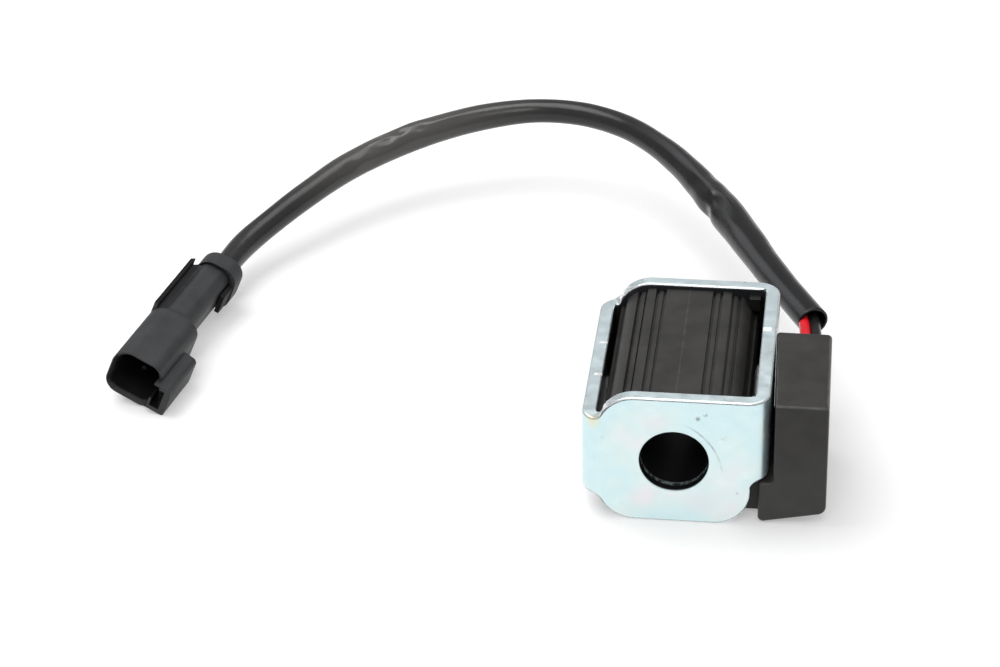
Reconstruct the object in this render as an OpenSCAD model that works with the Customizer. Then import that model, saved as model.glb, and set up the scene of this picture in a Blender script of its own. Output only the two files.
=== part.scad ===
// Solenoid valve coil. Two bent steel yoke halves close around a ribbed moulded coil with an open
// bore. A terminal box stands outside the right wall, and a sleeved two-wire lead runs to a sealed
// two-way receptacle. Millimetres. Origin on the bore's axis at mid depth, +X to the terminal box,
// +Y to the back plate, +Z up.

/* [Yoke] */
// Width over the two side walls
frame_w = 35.6; // [34:0.2:38]
// Height of the front and back plates
frame_h = 27.8; // [27:0.2:30]
// Depth over the front and back plates
frame_d = 44.2; // [42:0.2:48]
// Thickness of the steel
sheet_t = 2.8; // [2.4:0.1:3]
// Outer radius of the bends
bend_r = 4.2; // [3.8:0.1:4.8]
// Diameter of the bore for the valve's stem
bore_d = 13; // [12.2:0.1:13.6]
// Step from the plates' edge to the left wall's edge, above and below
wall_drop = 5.3; // [4.8:0.1:5.8]
// Height of the opening under the right wall
opening_h = 9.9; // [9.4:0.1:10.6]
// Radius of the plates' free corners
corner_r = 7.2; // [6.5:0.1:8]
// Distance of the plates' free corners from the walls' outer faces
corner_inset = 3.2; // [3:0.1:3.6]
// Fillet where a plate's outline meets the left wall's edges
left_fillet = 2.6; // [2:0.1:3]
// Fillet where a plate's outline meets the right wall's lower edge
edge_fillet = 1.8; // [1.2:0.2:2]
// Seam between the yoke halves, behind mid depth
seam_y = 3.3; // [1:0.1:6]
// Length of the dovetail that joins the halves
tongue_l = 4; // [3:0.5:6]
// Width of the dovetail at its root
tongue_w = 7; // [5:0.5:9]

/* [Coil] */
// Gap between the moulding and each side wall
moulding_gap = 1; // [0.6:0.1:1.6]
// Step from the plates' top edge down to the moulding
moulding_drop = 1; // [0.6:0.1:1.2]
// Radius of the moulding's long corners
moulding_r = 7.3; // [6.5:0.1:8]
// Wall of the bobbin's tube
tube_wall = 1.2; // [0.9:0.1:1.4]
// Thickness of the bobbin's flanges
flange_t = 1.8; // [1.4:0.1:2.4]
// Thickness of the moulding over the winding where it is thinnest
cover_t = 1.4; // [1:0.1:1.8]
// Thickness of the tape around the winding
tape_t = 0.3; // [0.2:0.05:0.4]
// Width of each groove pair in the moulding
channel_w = 1.9; // [1.6:0.1:2.2]
// Depth of the grooves
channel_depth = 0.8; // [0.5:0.1:1]
// Width of the rib that stands in each groove pair
rib_w = 1; // [0.8:0.1:1.1]
// Distance of the first groove pair from the middle
channel_x = 5.6; // [5:0.1:6]
// Distance along the skin from the first groove pair to the second
channel_step = 3.8; // [3.4:0.1:4.2]
// Distance along the skin from the second groove pair to the third
side_step = 4.8; // [4.4:0.1:5.2]

/* [Terminal box] */
// Gap between the right wall and the box
box_gap = 1; // [0.6:0.1:1.4]
// Width of the box outside that gap
box_w = 10.2; // [9.8:0.1:12]
// Depth of the box, front to back
box_d = 26; // [24:0.2:28]
// Setback of the box behind the front plate's face
box_setback = 1.1; // [0.6:0.1:2]
// Step from the plates' top edge down to the box's top
box_drop = 0.9; // [0.5:0.1:1.5]
// How far the box's foot reaches in under the right wall
foot_reach = 1.3; // [1:0.1:1.8]
// Gap between the foot and the wall's lower edge
foot_gap = 0.7; // [0.5:0.1:1.2]
// Rise of the box's sloping underside
foot_rise = 2.8; // [2:0.2:4]
// Wall of the box
box_wall = 1.4; // [1.2:0.1:1.6]
// Radius of the box's top front edge
box_r = 1.3; // [0.8:0.1:1.4]

/* [Lead] */
// Outer diameter of each wire
wire_d = 2.2; // [2:0.1:2.3]
// Outer diameter of the sleeve over the two wires
sleeve_d = 5.8; // [5.4:0.1:6.4]
// Depth of the wires' exit below the box's top
exit_drop = 5.3; // [4.6:0.1:6]
// Wall of the crimped ferrules
ferrule_wall = 0.35; // [0.25:0.05:0.4]
// Thickness of the brass terminals
strip_t = 0.8; // [0.6:0.1:1]
// Width of the brass terminals
strip_w = 2.4; // [2:0.2:3]

/* [Connector] */
// Length from the wire seal's rear face to the mouth
plug_l = 41.8; // [40.6:0.2:43]
// Length of the front shell
shell_l = 19.6; // [18.8:0.2:20]
// Width of the front shell
shell_w = 10.4; // [10:0.1:10.8]
// Height of the front shell
shell_h = 11; // [10.6:0.1:11.4]
// Wall of the front shell
shell_wall = 0.9; // [0.8:0.1:1.1]
// Depth of the mouth
mouth_depth = 16.5; // [16:0.1:16.9]
// Length of the wedge lock
wedge_l = 5; // [4:0.2:6]
// Distance of the pin tips behind the mouth's rim
tip_setback = 6; // [5:0.2:7]
// Diameter of the pins
pin_d = 1.5; // [1.2:0.1:1.6]
// Distance between the two pins
pin_pitch = 3.6; // [3.5:0.05:3.65]
// Length of the cap that holds the wire seal
cap_l = 4.6; // [4:0.1:5.4]
// Length of the cap's snap leg
leg_l = 4.6; // [4:0.2:6]
// Length of the clip rail
rail_l = 16.8; // [15:0.2:17.4]
// Length of the latch catch
catch_l = 12.8; // [11:0.2:13.4]

/* [Hidden] */
$fn = 64;
eps = 0.02;
// Clearances shared by the pieces that slide, pass or seat in each other
slide_gap = 0.2;
pass_gap = 0.1;
half_w = frame_w / 2;
half_h = frame_h / 2;
half_d = frame_d / 2;
in_w = half_w - sheet_t;
in_d = half_d - sheet_t;
bore_r = bore_d / 2;
// Outline of the plates seen from the front
core_x = half_w - corner_inset;
left_z = half_h - wall_drop;
right_z = -half_h + opening_h;
corner_c = [core_x - corner_r, half_h - corner_r];
fillet_dz = left_z + left_fillet - corner_c[1];
fillet_x = -corner_c[0] - sqrt(pow(corner_r + left_fillet, 2) - pow(fillet_dz, 2));
fillet_c = [fillet_x, left_z + left_fillet];
// Radii from the bore outwards
moulding_x = in_w - moulding_gap;
moulding_z = half_h - moulding_drop;
tube_r = bore_r + tube_wall;
tape_r = moulding_z - cover_t;
winding_r = tape_r - tape_t;
flange_lip = 0.4;
flange_r = tape_r + flange_lip;
arc_c = [moulding_x - moulding_r, moulding_z - moulding_r];
rib_root = 0.4;
rib_drop = 0.25;
lug_w = 2.2;
lug_l = 1.8;
lug_h = 2.6;
lug_drop = 0.4;
channel_angles = [for (s = [channel_step, channel_step + side_step])
                  (s - arc_c[0] + channel_x) / moulding_r * 180 / PI];
// Terminal box, seen from the front
box_x0 = half_w + box_gap;
box_x1 = box_x0 + box_w;
box_y0 = -half_d + box_setback;
box_y1 = box_y0 + box_d;
box_z1 = half_h - box_drop;
box_lift = 0.5;
box_z0 = -half_h + box_lift;
foot_x = half_w - foot_reach;
foot_z = right_z - foot_gap;
neck_inset = 1.5;
neck_setback = 2;
neck_gap = 0.2;
neck_y = [-in_d + neck_inset, box_y1 - neck_setback];
neck_z = [-moulding_z, foot_z - neck_gap];
edge_r = 0.6;
// Wires, ferrules and terminals inside the box
wire_r = wire_d / 2;
ferrule_r = wire_r + ferrule_wall;
lead_pitch = wire_r + ferrule_r + 0.2;
lead_mid = box_x1 - box_wall - pass_gap - ferrule_r - lead_pitch / 2;
lead_x = [lead_mid - lead_pitch / 2, lead_mid + lead_pitch / 2];
lead_z = box_z1 - exit_drop;
ferrule_l = 6;
strip_inset = 6;
strip_y0 = -in_d + flange_t + strip_inset;
ferrule_gap = 0.5;
strip_y = [strip_y0 + ferrule_l + ferrule_gap, strip_y0];
strip_z = (neck_z[0] + neck_z[1]) / 2;
tail_l = 0.9;
tail_x = sqrt(pow(tape_r, 2) - pow(strip_z, 2)) + tail_l;
strip_bend = 0.4;
end_l = 3;
end_t = 0.6;
// Receptacle. Its own X runs from the wire seal to the mouth, its Y to the latch side.
plug_at = [-102.8, 48.2, -6.9];
plug_yaw = 12.2;
plug_roll = 23;
plug_dir = [-sin(plug_yaw), -cos(plug_yaw), 0];
shell_r = 3;
shell_top_r = 3.8;
shell_c = [0.2, -0.25];
shell_y = [shell_c[0] - shell_w / 2, shell_c[0] + shell_w / 2];
step_r = 1.4;
shoulder_step_r = 2.2;
step_x = plug_l - shell_l;
rim_r = 0.3;
body_w = 7.2;
body_h = 8.8;
body_r = 2.8;
seal_l = 8;
pocket_wall = 0.8;
seal_w = body_w - 2 * pocket_wall;
seal_h = body_h - 2 * pocket_wall;
seal_r = body_r - pocket_wall;
lip_l = 1.6;
lip_h = 0.4;
wall_x = plug_l - mouth_depth;
stop_l = 3;
stop_x = wall_x - stop_l;
pin_r = pin_d / 2;
shoulder_r = 1.4;
crimp_l = 6;
cap_w = 9.4;
cap_h = 10.6;
cap_y = 0.6;
cap_wall = 1.2;
cap_r = 3.2;
cap_top_r = 3.8;
leg_t = 1.1;
leg_w = 4;
leg_y = 3.8;
leg_z = 0.4;
catch_t = 3;
catch_wall = 1;
catch_z = [-4, 2.6];
catch_reach = 1.6;
notch_l = 3;
catch_x1 = plug_l + catch_reach;
rail_t = 0.8;
rail_z = [-1.6, 5];
rail_point = 1;
pull = [4, 4, 1];
// Route of the sleeve, from the wires at the box to the receptacle
route = [[24.5, 19, 7.1], [19.5, 29, 6.9], [14.5, 39.5, 6.6], [10, 50, 6.3], [5, 61, 6.1], [0, 71, 5.9],
         [-5.5, 81.5, 5.6], [-12, 91.5, 5.2], [-20, 100.5, 4.7], [-30, 106.5, 4.2], [-41, 108.5, 3.5],
         [-52, 106.5, 2.6], [-62.5, 102, 1.4], [-72, 96, 0], [-81, 87.5, -1.5], [-88, 78.5, -3.2],
         [-94, 70, -4.9], [-99, 61, -6.3], plug_at];
route_out = [-0.447, 0.894, -0.04];

front_yoke();
rear_yoke();
bobbin();
winding();
winding_tape();
coil_moulding();
terminal_box();
box_potting();
start_terminal();
finish_terminal();
red_ferrule();
black_ferrule();
red_lead();
black_lead();
lead_sleeve();
connector_shell();
seal_retainer();
wire_seal();
red_tail();
black_tail();
contact_pin_red();
contact_pin_black();
wedge_lock();

// A cylinder along Y from y0 to y1
module rod_y(r, y0, y1) {
  translate([0, y0, 0]) rotate([-90, 0, 0]) cylinder(r = r, h = y1 - y0);
}

// A bar along X with four rounded long edges, from x0 to x1; q is the radius of the upper edge at -Y
module bar_x(x0, x1, w, h, r, q = 0) {
  big = max(r, q);
  y = w / 2;
  z = h / 2;
  translate([x0, 0, 0]) rotate([90, 0, 90]) linear_extrude(height = x1 - x0)
    polygon([[r - y, -z], [y - r, -z], [y, r - z], [y, z - r],
             [y - r, z], [big - y, z], [-y, z - big], [-y, r - z]]);
  for (c = [[-1, -1, r], [1, -1, r], [1, 1, r], [-1, 1, big]])
    translate([x0, c[0] * (y - c[2]), c[1] * (z - c[2])]) rotate([0, 90, 0]) cylinder(r = c[2], h = x1 - x0);
}

function unit(v) = v / norm(v);

// Corners of the rectangle that spans a in its first direction and b in its second
function rect(a, b) = [[a[0], b[0]], [a[1], b[0]], [a[1], b[1]], [a[0], b[1]]];

// An arc of radius r in place of the corner b between a and c
function corner_arc(a, b, c, r, n = 6) =
  r == 0 ? [b] :
  let (u = unit(a - b), v = unit(c - b), half = acos(u * v) / 2, turn = 180 - 2 * half,
       m = b + unit(u + v) * r / sin(half), s = b + u * r / tan(half) - m, e = b + v * r / tan(half) - m)
  [for (k = [0 : n]) m + (sin((1 - k / n) * turn) * s + sin(k / n * turn) * e) / sin(turn)];

// The outline p with each corner rounded by its own radius in r
function rounded(p, r) =
  let (n = len(p))
  [for (i = [0 : n - 1]) each corner_arc(p[(i + n - 1) % n], p[i], p[(i + 1) % n], r[i])];

// Slabs of a rounded outline: along X drawn in Y and Z, along Y drawn in X and Z, along Z in X and Y
module slab_x(p, r, x0, x1) {
  translate([x0, 0, 0]) rotate([90, 0, 90]) linear_extrude(height = x1 - x0) polygon(rounded(p, r));
}

module slab_y(p, r, y0, y1) {
  translate([0, y1, 0]) rotate([90, 0, 0]) linear_extrude(height = y1 - y0) polygon(rounded(p, r));
}

module slab_z(p, r, z0, z1) {
  translate([0, 0, z0]) linear_extrude(height = z1 - z0) polygon(rounded(p, r));
}

// An upright box with four rounded upright edges
module post_z(x, y, h, r) {
  translate([-x + r, -y, -h / 2]) cube([2 * (x - r), 2 * y, h]);
  translate([-x, -y + r, -h / 2]) cube([2 * x, 2 * (y - r), h]);
  for (sx = [-1, 1], sy = [-1, 1])
    translate([sx * (x - r), sy * (y - r), -h / 2]) cylinder(r = r, h = h);
}

// Concave fillet between a left plate corner and the left wall's upper edge, or its lower one
module corner_fillet(side) {
  touch = fillet_c + ([-corner_c[0], corner_c[1]] - fillet_c) * left_fillet / (corner_r + left_fillet);
  mirror([0, 0, side > 0 ? 0 : 1]) difference() {
    rotate([90, 0, 0]) linear_extrude(height = frame_d + 2, center = true)
      polygon([[fillet_c[0], left_z], [-corner_c[0], corner_c[1]], touch]);
    translate([fillet_c[0], 0, fillet_c[1]]) rod_y(left_fillet, -half_d - 2, half_d + 2);
  }
}

// Outline that both plates and both walls are blanked to, as a prism along Y
module yoke_outline() {
  d = frame_d + 2;
  translate([-corner_c[0], -d / 2, -half_h]) cube([2 * corner_c[0], d, frame_h]);
  translate([-core_x, -d / 2, -corner_c[1]]) cube([2 * core_x, d, 2 * corner_c[1]]);
  for (c = [[-1, 1], [-1, -1], [1, -1]])
    translate([c[0] * corner_c[0], 0, c[1] * corner_c[1]]) rod_y(corner_r, -d / 2, d / 2);
  translate([-half_w - 1, -d / 2, -left_z]) cube([half_w, d, 2 * left_z]);
  translate([0, -d / 2, right_z]) cube([half_w + 1, d, half_h - right_z]);
  for (side = [-1, 1]) corner_fillet(side);
  difference() {
    translate([core_x - 1, -d / 2, right_z - edge_fillet])
      cube([1 + edge_fillet, d, edge_fillet + 1]);
    translate([core_x + edge_fillet, 0, right_z - edge_fillet])
      rod_y(edge_fillet, -d / 2 - 1, d / 2 + 1);
  }
}

// The closed yoke before it is parted at the seam
module yoke_ring() {
  intersection() {
    difference() {
      post_z(half_w, half_d, frame_h, bend_r);
      post_z(in_w, in_d, frame_h + 2, bend_r - sheet_t);
      rod_y(bore_r, -half_d - 1, half_d + 1);
    }
    yoke_outline();
  }
}

// What lies behind the seam, with the two dovetails that reach forward past it
module seam_block() {
  translate([-half_w - 1, seam_y, -half_h - 1]) cube([frame_w + 2, half_d, frame_h + 2]);
  for (side = [[-half_w - 1, 0], [in_w - 0.5, (half_h + right_z) / 2]])
    translate([side[0], 0, side[1]]) rotate([90, 0, 90]) linear_extrude(height = sheet_t + 1.5)
      polygon([[seam_y + 1, -tongue_w / 2], [seam_y, -tongue_w / 2],
               [seam_y - tongue_l, -tongue_w / 2 - 1], [seam_y - tongue_l, tongue_w / 2 + 1],
               [seam_y, tongue_w / 2], [seam_y + 1, tongue_w / 2]]);
}

module front_yoke() {
  color([0.8, 0.83, 0.84]) difference() {
    yoke_ring();
    seam_block();
  }
}

module rear_yoke() {
  color([0.78, 0.82, 0.83]) intersection() {
    yoke_ring();
    seam_block();
  }
}

module bobbin() {
  color([0.2, 0.2, 0.2]) difference() {
    union() {
      rod_y(tube_r, -in_d, in_d);
      rod_y(flange_r, -in_d, -in_d + flange_t);
      rod_y(flange_r, in_d - flange_t, in_d);
    }
    rod_y(bore_r, -half_d, half_d);
  }
}

// End of the winding that runs out to a terminal, or the hole for it, which reaches into the terminal's slot
module winding_end(i, reach = 0) {
  translate([tail_x - end_l, strip_y[i] - end_t / 2, strip_z - end_t / 2])
    cube([end_l + reach, end_t, end_t]);
}

module winding() {
  color([0.72, 0.36, 0.16]) difference() {
    union() {
      rod_y(winding_r, -in_d + flange_t, in_d - flange_t);
      winding_end(0);
      winding_end(1);
    }
    rod_y(tube_r, -half_d, half_d);
  }
}

module winding_tape() {
  color([0.75, 0.62, 0.2]) difference() {
    rod_y(tape_r, -in_d + flange_t, in_d - flange_t);
    rod_y(winding_r, -half_d, half_d);
    winding_end(0);
    winding_end(1);
  }
}

// One groove pair's cut, or the rib in it, on the moulding's skin at angle a from the top
module on_skin(c, r, a) {
  translate([c[0], 0, c[1]]) rotate([0, a, 0]) translate([0, 0, r]) children();
}

module channel(w, low, high) {
  translate([-w / 2, -half_d, low]) cube([w, frame_d, high - low]);
}

module moulding_channels(w, low, high) {
  for (m = [0, 1], n = [0, 1]) mirror([m, 0, 0]) mirror([0, 0, n]) {
    on_skin([channel_x, 0], moulding_z, 0) channel(w, low, high);
    for (a = channel_angles) on_skin(arc_c, moulding_r, a) channel(w, low, high);
  }
}

module coil_moulding() {
  lug_z = moulding_z - lug_drop;
  color([0.13, 0.13, 0.13]) difference() {
    union() {
      difference() {
        rotate([0, 0, 90])
          bar_x(-in_d, in_d, 2 * moulding_x, 2 * moulding_z, moulding_r);
        moulding_channels(channel_w, -channel_depth, channel_depth);
      }
      intersection() {
        moulding_channels(rib_w, -channel_depth - rib_root, -rib_drop);
        translate([-half_w, -in_d, -half_h]) cube([frame_w, 2 * in_d, frame_h]);
      }
      slab_y(rect([moulding_x - lug_w, moulding_x], [lug_z - lug_h, lug_z]), [0, 0, edge_r, edge_r],
             in_d - lug_l, in_d);
      translate([arc_c[0], neck_y[0], neck_z[0]])
        cube([foot_x - arc_c[0], neck_y[1] - neck_y[0], neck_z[1] - neck_z[0]]);
    }
    rod_y(tape_r, -half_d, half_d);
    rod_y(flange_r, -half_d, -in_d + flange_t);
    rod_y(flange_r, in_d - flange_t, half_d);
    for (i = [0, 1]) {
      winding_end(i, strip_t);
      terminal(i);
    }
  }
}

// A bent brass strip: in from the winding's end, then up to the ferrule
module terminal(i) {
  x1 = lead_x[i] + strip_t / 2;
  z0 = strip_z - strip_t / 2;
  top = lead_z - ferrule_r;
  slab_y([[tail_x, z0], [x1, z0], [x1, top], [x1 - strip_t, top], [x1 - strip_t, z0 + strip_t],
          [tail_x, z0 + strip_t]],
         [0, strip_bend + strip_t, 0, 0, strip_bend, 0],
         strip_y[i] - strip_w / 2, strip_y[i] + strip_w / 2);
}

module start_terminal() {
  color([0.8, 0.66, 0.3]) terminal(0);
}

module finish_terminal() {
  color([0.8, 0.66, 0.3]) terminal(1);
}

module ferrule(i) {
  translate([lead_x[i], 0, lead_z]) difference() {
    rod_y(ferrule_r, strip_y[i] - ferrule_l / 2, strip_y[i] + ferrule_l / 2);
    rod_y(wire_r + eps, strip_y[i], strip_y[i] + ferrule_l);
  }
}

module red_ferrule() {
  color([0.75, 0.75, 0.72]) ferrule(0);
}

module black_ferrule() {
  color([0.75, 0.75, 0.72]) ferrule(1);
}

// The hollow in the box that holds terminals, ferrules and resin
module box_hollow() {
  z0 = strip_z - strip_t;
  translate([box_x0 + box_wall, box_y0 + box_wall, z0])
    cube([box_w - 2 * box_wall, box_d - box_wall, box_z1 - box_wall - z0]);
}

module terminal_box() {
  color([0.14, 0.14, 0.14]) difference() {
    intersection() {
      slab_y([[foot_x, foot_z], [foot_x, box_z0], [box_x1, box_z0 + foot_rise], [box_x1, box_z1],
              [box_x0, box_z1], [box_x0, foot_z]],
             [edge_r, edge_r, 3 * edge_r, edge_r, edge_r, edge_r], box_y0, box_y1);
      slab_x(rect([box_y0, box_y1], [box_z0, box_z1]), [edge_r, edge_r, edge_r, box_r],
             foot_x - 1, box_x1 + 1);
      slab_z(rect([foot_x - 1, box_x1], [box_y0, box_y1]), [0, edge_r, edge_r, 0],
             box_z0 - 1, box_z1 + 1);
    }
    box_hollow();
    terminal(0);
    terminal(1);
  }
}

module box_potting() {
  color([0.1, 0.1, 0.11]) difference() {
    box_hollow();
    for (i = [0, 1]) {
      terminal(i);
      translate([lead_x[i], 0, lead_z]) {
        rod_y(ferrule_r, strip_y[i] - ferrule_l / 2, strip_y[i] + ferrule_l / 2);
        rod_y(wire_r + pass_gap, strip_y[i], box_y1 + 1);
      }
    }
  }
}

// A ring of n points of radius r around p, square to the direction t
function ring(p, t, r, n) =
  let (s = unit(cross(t, [0, 0, 1])), u = cross(s, t))
  [for (i = [0 : n - 1]) p + r * (cos(360 * i / n) * s + sin(360 * i / n) * u)];

// Direction of a route at its point i, with the two ends' directions given
function along(p, i, t0, t1) =
  i == 0 ? unit(t0) : i == len(p) - 1 ? unit(t1) : unit(p[i + 1] - p[i - 1]);

// A round cord of radius r and n sides along the points p
module cord(p, r, n, t0, t1) {
  m = len(p);
  polyhedron(
    points = [for (i = [0 : m - 1]) each ring(p[i], along(p, i, t0, t1), r, n)],
    faces = concat(
      [[for (i = [n - 1 : -1 : 0]) i], [for (i = [0 : n - 1]) (m - 1) * n + i]],
      [for (k = [0 : m - 2], i = [0 : n - 1]) each
        [[k * n + i, k * n + (i + 1) % n, (k + 1) * n + (i + 1) % n],
         [k * n + i, (k + 1) * n + (i + 1) % n, (k + 1) * n + i]]]),
    convexity = 10);
}

// A wire from its ferrule through the resin to the sleeve's end; i is 0 for red, 1 for black
module wire(i) {
  out = unit(route_out);
  side = unit(cross(out, [0, 0, 1]));
  end = route[0] + side * (i == 0 ? -1 : 1) * (wire_r + 0.1);
  start = [lead_x[i], strip_y[i] + eps, lead_z];
  face = [lead_x[i], box_y1 + 3, lead_z];
  cord([start, face, (face + end - 4 * out) / 2, end - 2 * out, end], wire_r, 8, [0, 1, 0], out);
}

module red_lead() {
  color([0.85, 0.1, 0.12]) wire(0);
}

module black_lead() {
  color([0.09, 0.09, 0.09]) wire(1);
}

module lead_sleeve() {
  color([0.16, 0.16, 0.17]) cord(route, sleeve_d / 2, 10, route_out, plug_dir);
}

// Puts children into the receptacle's place on the floor
module at_plug() {
  translate(plug_at) rotate([-plug_roll, 0, -90 - plug_yaw]) children();
}

// Children at both contacts' places
module each_pin() {
  for (z = [-1, 1]) translate([0, 0, z * pin_pitch / 2]) children();
}

module rod_x(r, x0, x1) {
  translate([x0, 0, 0]) rotate([0, 90, 0]) cylinder(r = r, h = x1 - x0);
}

// The clip rail: a floor beside the body and an upright wall, cut slanting at the rear
module rail() {
  x0 = step_x - rail_l;
  y0 = shell_y[0];
  intersection() {
    union() {
      translate([x0, y0, rail_z[0]]) cube([rail_l + step_r, rail_t, rail_z[1] - rail_z[0]]);
      translate([x0, y0, rail_z[0]]) cube([rail_l + step_r, -y0, rail_t]);
    }
    slab_z([[step_x + step_r, y0], [step_x + step_r, 0], [x0 + rail_point, 0], [x0 + rail_point, -body_w / 2],
            [x0, y0]],
           [0, 0, 0, 0, 0], rail_z[0] - 1, rail_z[1] + 1);
  }
}

// The box that the mating plug's latch arm hooks behind
module catch() {
  y1 = shell_y[1] + catch_t;
  intersection() {
    slab_z(rect([catch_x1 - catch_l, catch_x1], [0, y1]), [0, 0, edge_r, 2 * edge_r], catch_z[0], catch_z[1]);
    slab_x(rect([0, y1], catch_z), [0, edge_r, 2 * edge_r, 0], catch_x1 - catch_l, catch_x1);
  }
}

// The way for the latch arm beside the shell's wall, and the notch in that wall at the mouth
module catch_way() {
  x0 = catch_x1 - catch_l + 2 * catch_wall;
  z1 = catch_z[1] - catch_wall;
  mid = (catch_z[0] + catch_z[1]) / 2;
  translate([x0, shell_y[1] - pass_gap, catch_z[0] + catch_wall])
    cube([catch_l, catch_t - catch_wall + pass_gap, z1 - catch_z[0] - catch_wall]);
  translate([plug_l - notch_l, 0, mid]) cube([catch_l, shell_y[1] + 1, z1 - mid]);
}

// The hollow of the mouth, or a piece that fits in it with a gap all round
module mouth_bar(x0, x1, gap) {
  r = shell_r - shell_wall - gap;
  translate([0, shell_c[0], shell_c[1]])
    bar_x(x0, x1, shell_w - 2 * (shell_wall + gap), shell_h - 2 * (shell_wall + gap), r,
          r + shell_top_r - shell_r);
}

module connector_shell() {
  color([0.17, 0.17, 0.18]) at_plug() difference() {
    union() {
      translate([0, shell_c[0], shell_c[1]]) intersection() {
        bar_x(step_x, plug_l, shell_w, shell_h, shell_r, shell_top_r);
        slab_z(rect([step_x, plug_l], [-shell_w / 2, shell_w / 2]), [step_r, rim_r, rim_r, shoulder_step_r],
               -shell_h, shell_h);
        slab_y(rect([step_x, plug_l], [-shell_h / 2, shell_h / 2]), [step_r, rim_r, rim_r, step_r],
               -shell_w, shell_w);
      }
      bar_x(0, step_x + 2, body_w, body_h, body_r);
      rail();
      difference() {
        catch();
        mouth_bar(step_x, catch_x1 + 1, 0);
      }
    }
    mouth_bar(wall_x, catch_x1 + 1, 0);
    catch_way();
    each_pin() {
      rod_x(pin_r + pass_gap, stop_x - 1, wall_x + 1);
      rod_x(shoulder_r + pass_gap, seal_l - 1, stop_x);
    }
    bar_x(-1, seal_l, seal_w + eps, seal_h + eps, seal_r);
  }
}

module seal_retainer() {
  x1 = cap_l - cap_wall;
  color([0.18, 0.19, 0.2]) at_plug() difference() {
    union() {
      translate([0, cap_y, 0]) intersection() {
        bar_x(-cap_wall, x1, cap_w, cap_h, cap_r, cap_top_r);
        slab_z(rect([-cap_wall, x1], [-cap_w / 2, cap_w / 2]), [edge_r, rim_r, rim_r, edge_r], -cap_h, cap_h);
        slab_y(rect([-cap_wall, x1], [-cap_h / 2, cap_h / 2]), [edge_r, rim_r, rim_r, edge_r], -cap_w, cap_w);
      }
      slab_y(rect([x1 - 2, x1 + leg_l], [leg_z - leg_w / 2, leg_z + leg_w / 2]),
             [0, 2 * edge_r, 2 * edge_r, 0], leg_y, leg_y + leg_t);
      translate([x1 + leg_l - 2 * leg_t, body_w / 2 + pass_gap, leg_z - leg_w / 4])
        cube([leg_t, leg_y - body_w / 2, leg_w / 2]);
    }
    bar_x(0, cap_l, body_w + 2 * pass_gap, body_h + 2 * pass_gap, body_r);
    rod_x(sleeve_d / 2 + pass_gap, -cap_wall - 1, 1);
  }
}

module wire_seal() {
  color([0.72, 0.3, 0.12]) at_plug() difference() {
    union() {
      bar_x(0, seal_l, seal_w - 2 * lip_h, seal_h - 2 * lip_h, seal_r - lip_h);
      for (x = [0, (seal_l - lip_l) / 2, seal_l - lip_l])
        bar_x(x, x + lip_l, seal_w, seal_h, seal_r);
    }
    each_pin() rod_x(wire_r + eps, -1, seal_l + 1);
  }
}

// The end of a wire from the sleeve through the seal to its contact
module tail(z) {
  at_plug() translate([0, 0, z * pin_pitch / 2]) rod_x(wire_r, 0, seal_l + 1);
}

module red_tail() {
  color([0.85, 0.1, 0.12]) tail(1);
}

module black_tail() {
  color([0.09, 0.09, 0.09]) tail(-1);
}

// A turned contact: crimp barrel, neck, shoulder against the inner wall, pin into the mouth
module contact_pin(z) {
  x0 = seal_l + 1;
  tip = plug_l - tip_setback;
  neck_x = [x0 + crimp_l, x0 + crimp_l + 1];
  at_plug() translate([0, 0, z * pin_pitch / 2]) rotate([0, 90, 0]) rotate_extrude()
    polygon(rounded([[0, x0], [shoulder_r - 0.15, x0], [shoulder_r - 0.15, neck_x[0]],
                     [shoulder_r - 0.4, neck_x[0]], [shoulder_r - 0.4, neck_x[1]], [shoulder_r, neck_x[1]],
                     [shoulder_r, stop_x], [pin_r, stop_x], [pin_r, tip], [0, tip]],
                    [0, 0, 0, 0, 0, 0, 0, 0, 0.7 * pin_r, 0]));
}

module contact_pin_red() {
  color([0.8, 0.78, 0.7]) contact_pin(1);
}

module contact_pin_black() {
  color([0.8, 0.78, 0.7]) contact_pin(-1);
}

module wedge_lock() {
  y = shell_w / 2 - shell_wall - slide_gap;
  z = shell_h / 2 - shell_wall - slide_gap;
  x1 = wall_x + wedge_l;
  color([0.25, 0.26, 0.26]) at_plug() difference() {
    union() {
      intersection() {
        mouth_bar(wall_x, x1, slide_gap);
        translate([0, shell_c[0], shell_c[1]]) {
          intersection() {
            slab_z(rect([wall_x, x1], [-y, y]), [0, edge_r, edge_r, 0], -2 * z, 2 * z);
            slab_y(rect([wall_x, x1], [-z, z]), [0, edge_r, edge_r, 0], -2 * y, 2 * y);
          }
        }
      }
      slab_z(rect([x1 - 1, x1 + pull[0]], [-pull[1] / 2, pull[1] / 2]), [0, edge_r, edge_r, 0],
             -pull[2] / 2, pull[2] / 2);
    }
    each_pin() rod_x(pin_r + slide_gap, wall_x - 1, x1 + 1);
    translate([x1 + pull[0] / 2, 0, 0]) cylinder(d = pull[0] / 3, h = 2 * pull[2], center = true);
  }
}
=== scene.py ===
import math

import bmesh
import bpy
from mathutils import Matrix, Vector


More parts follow.
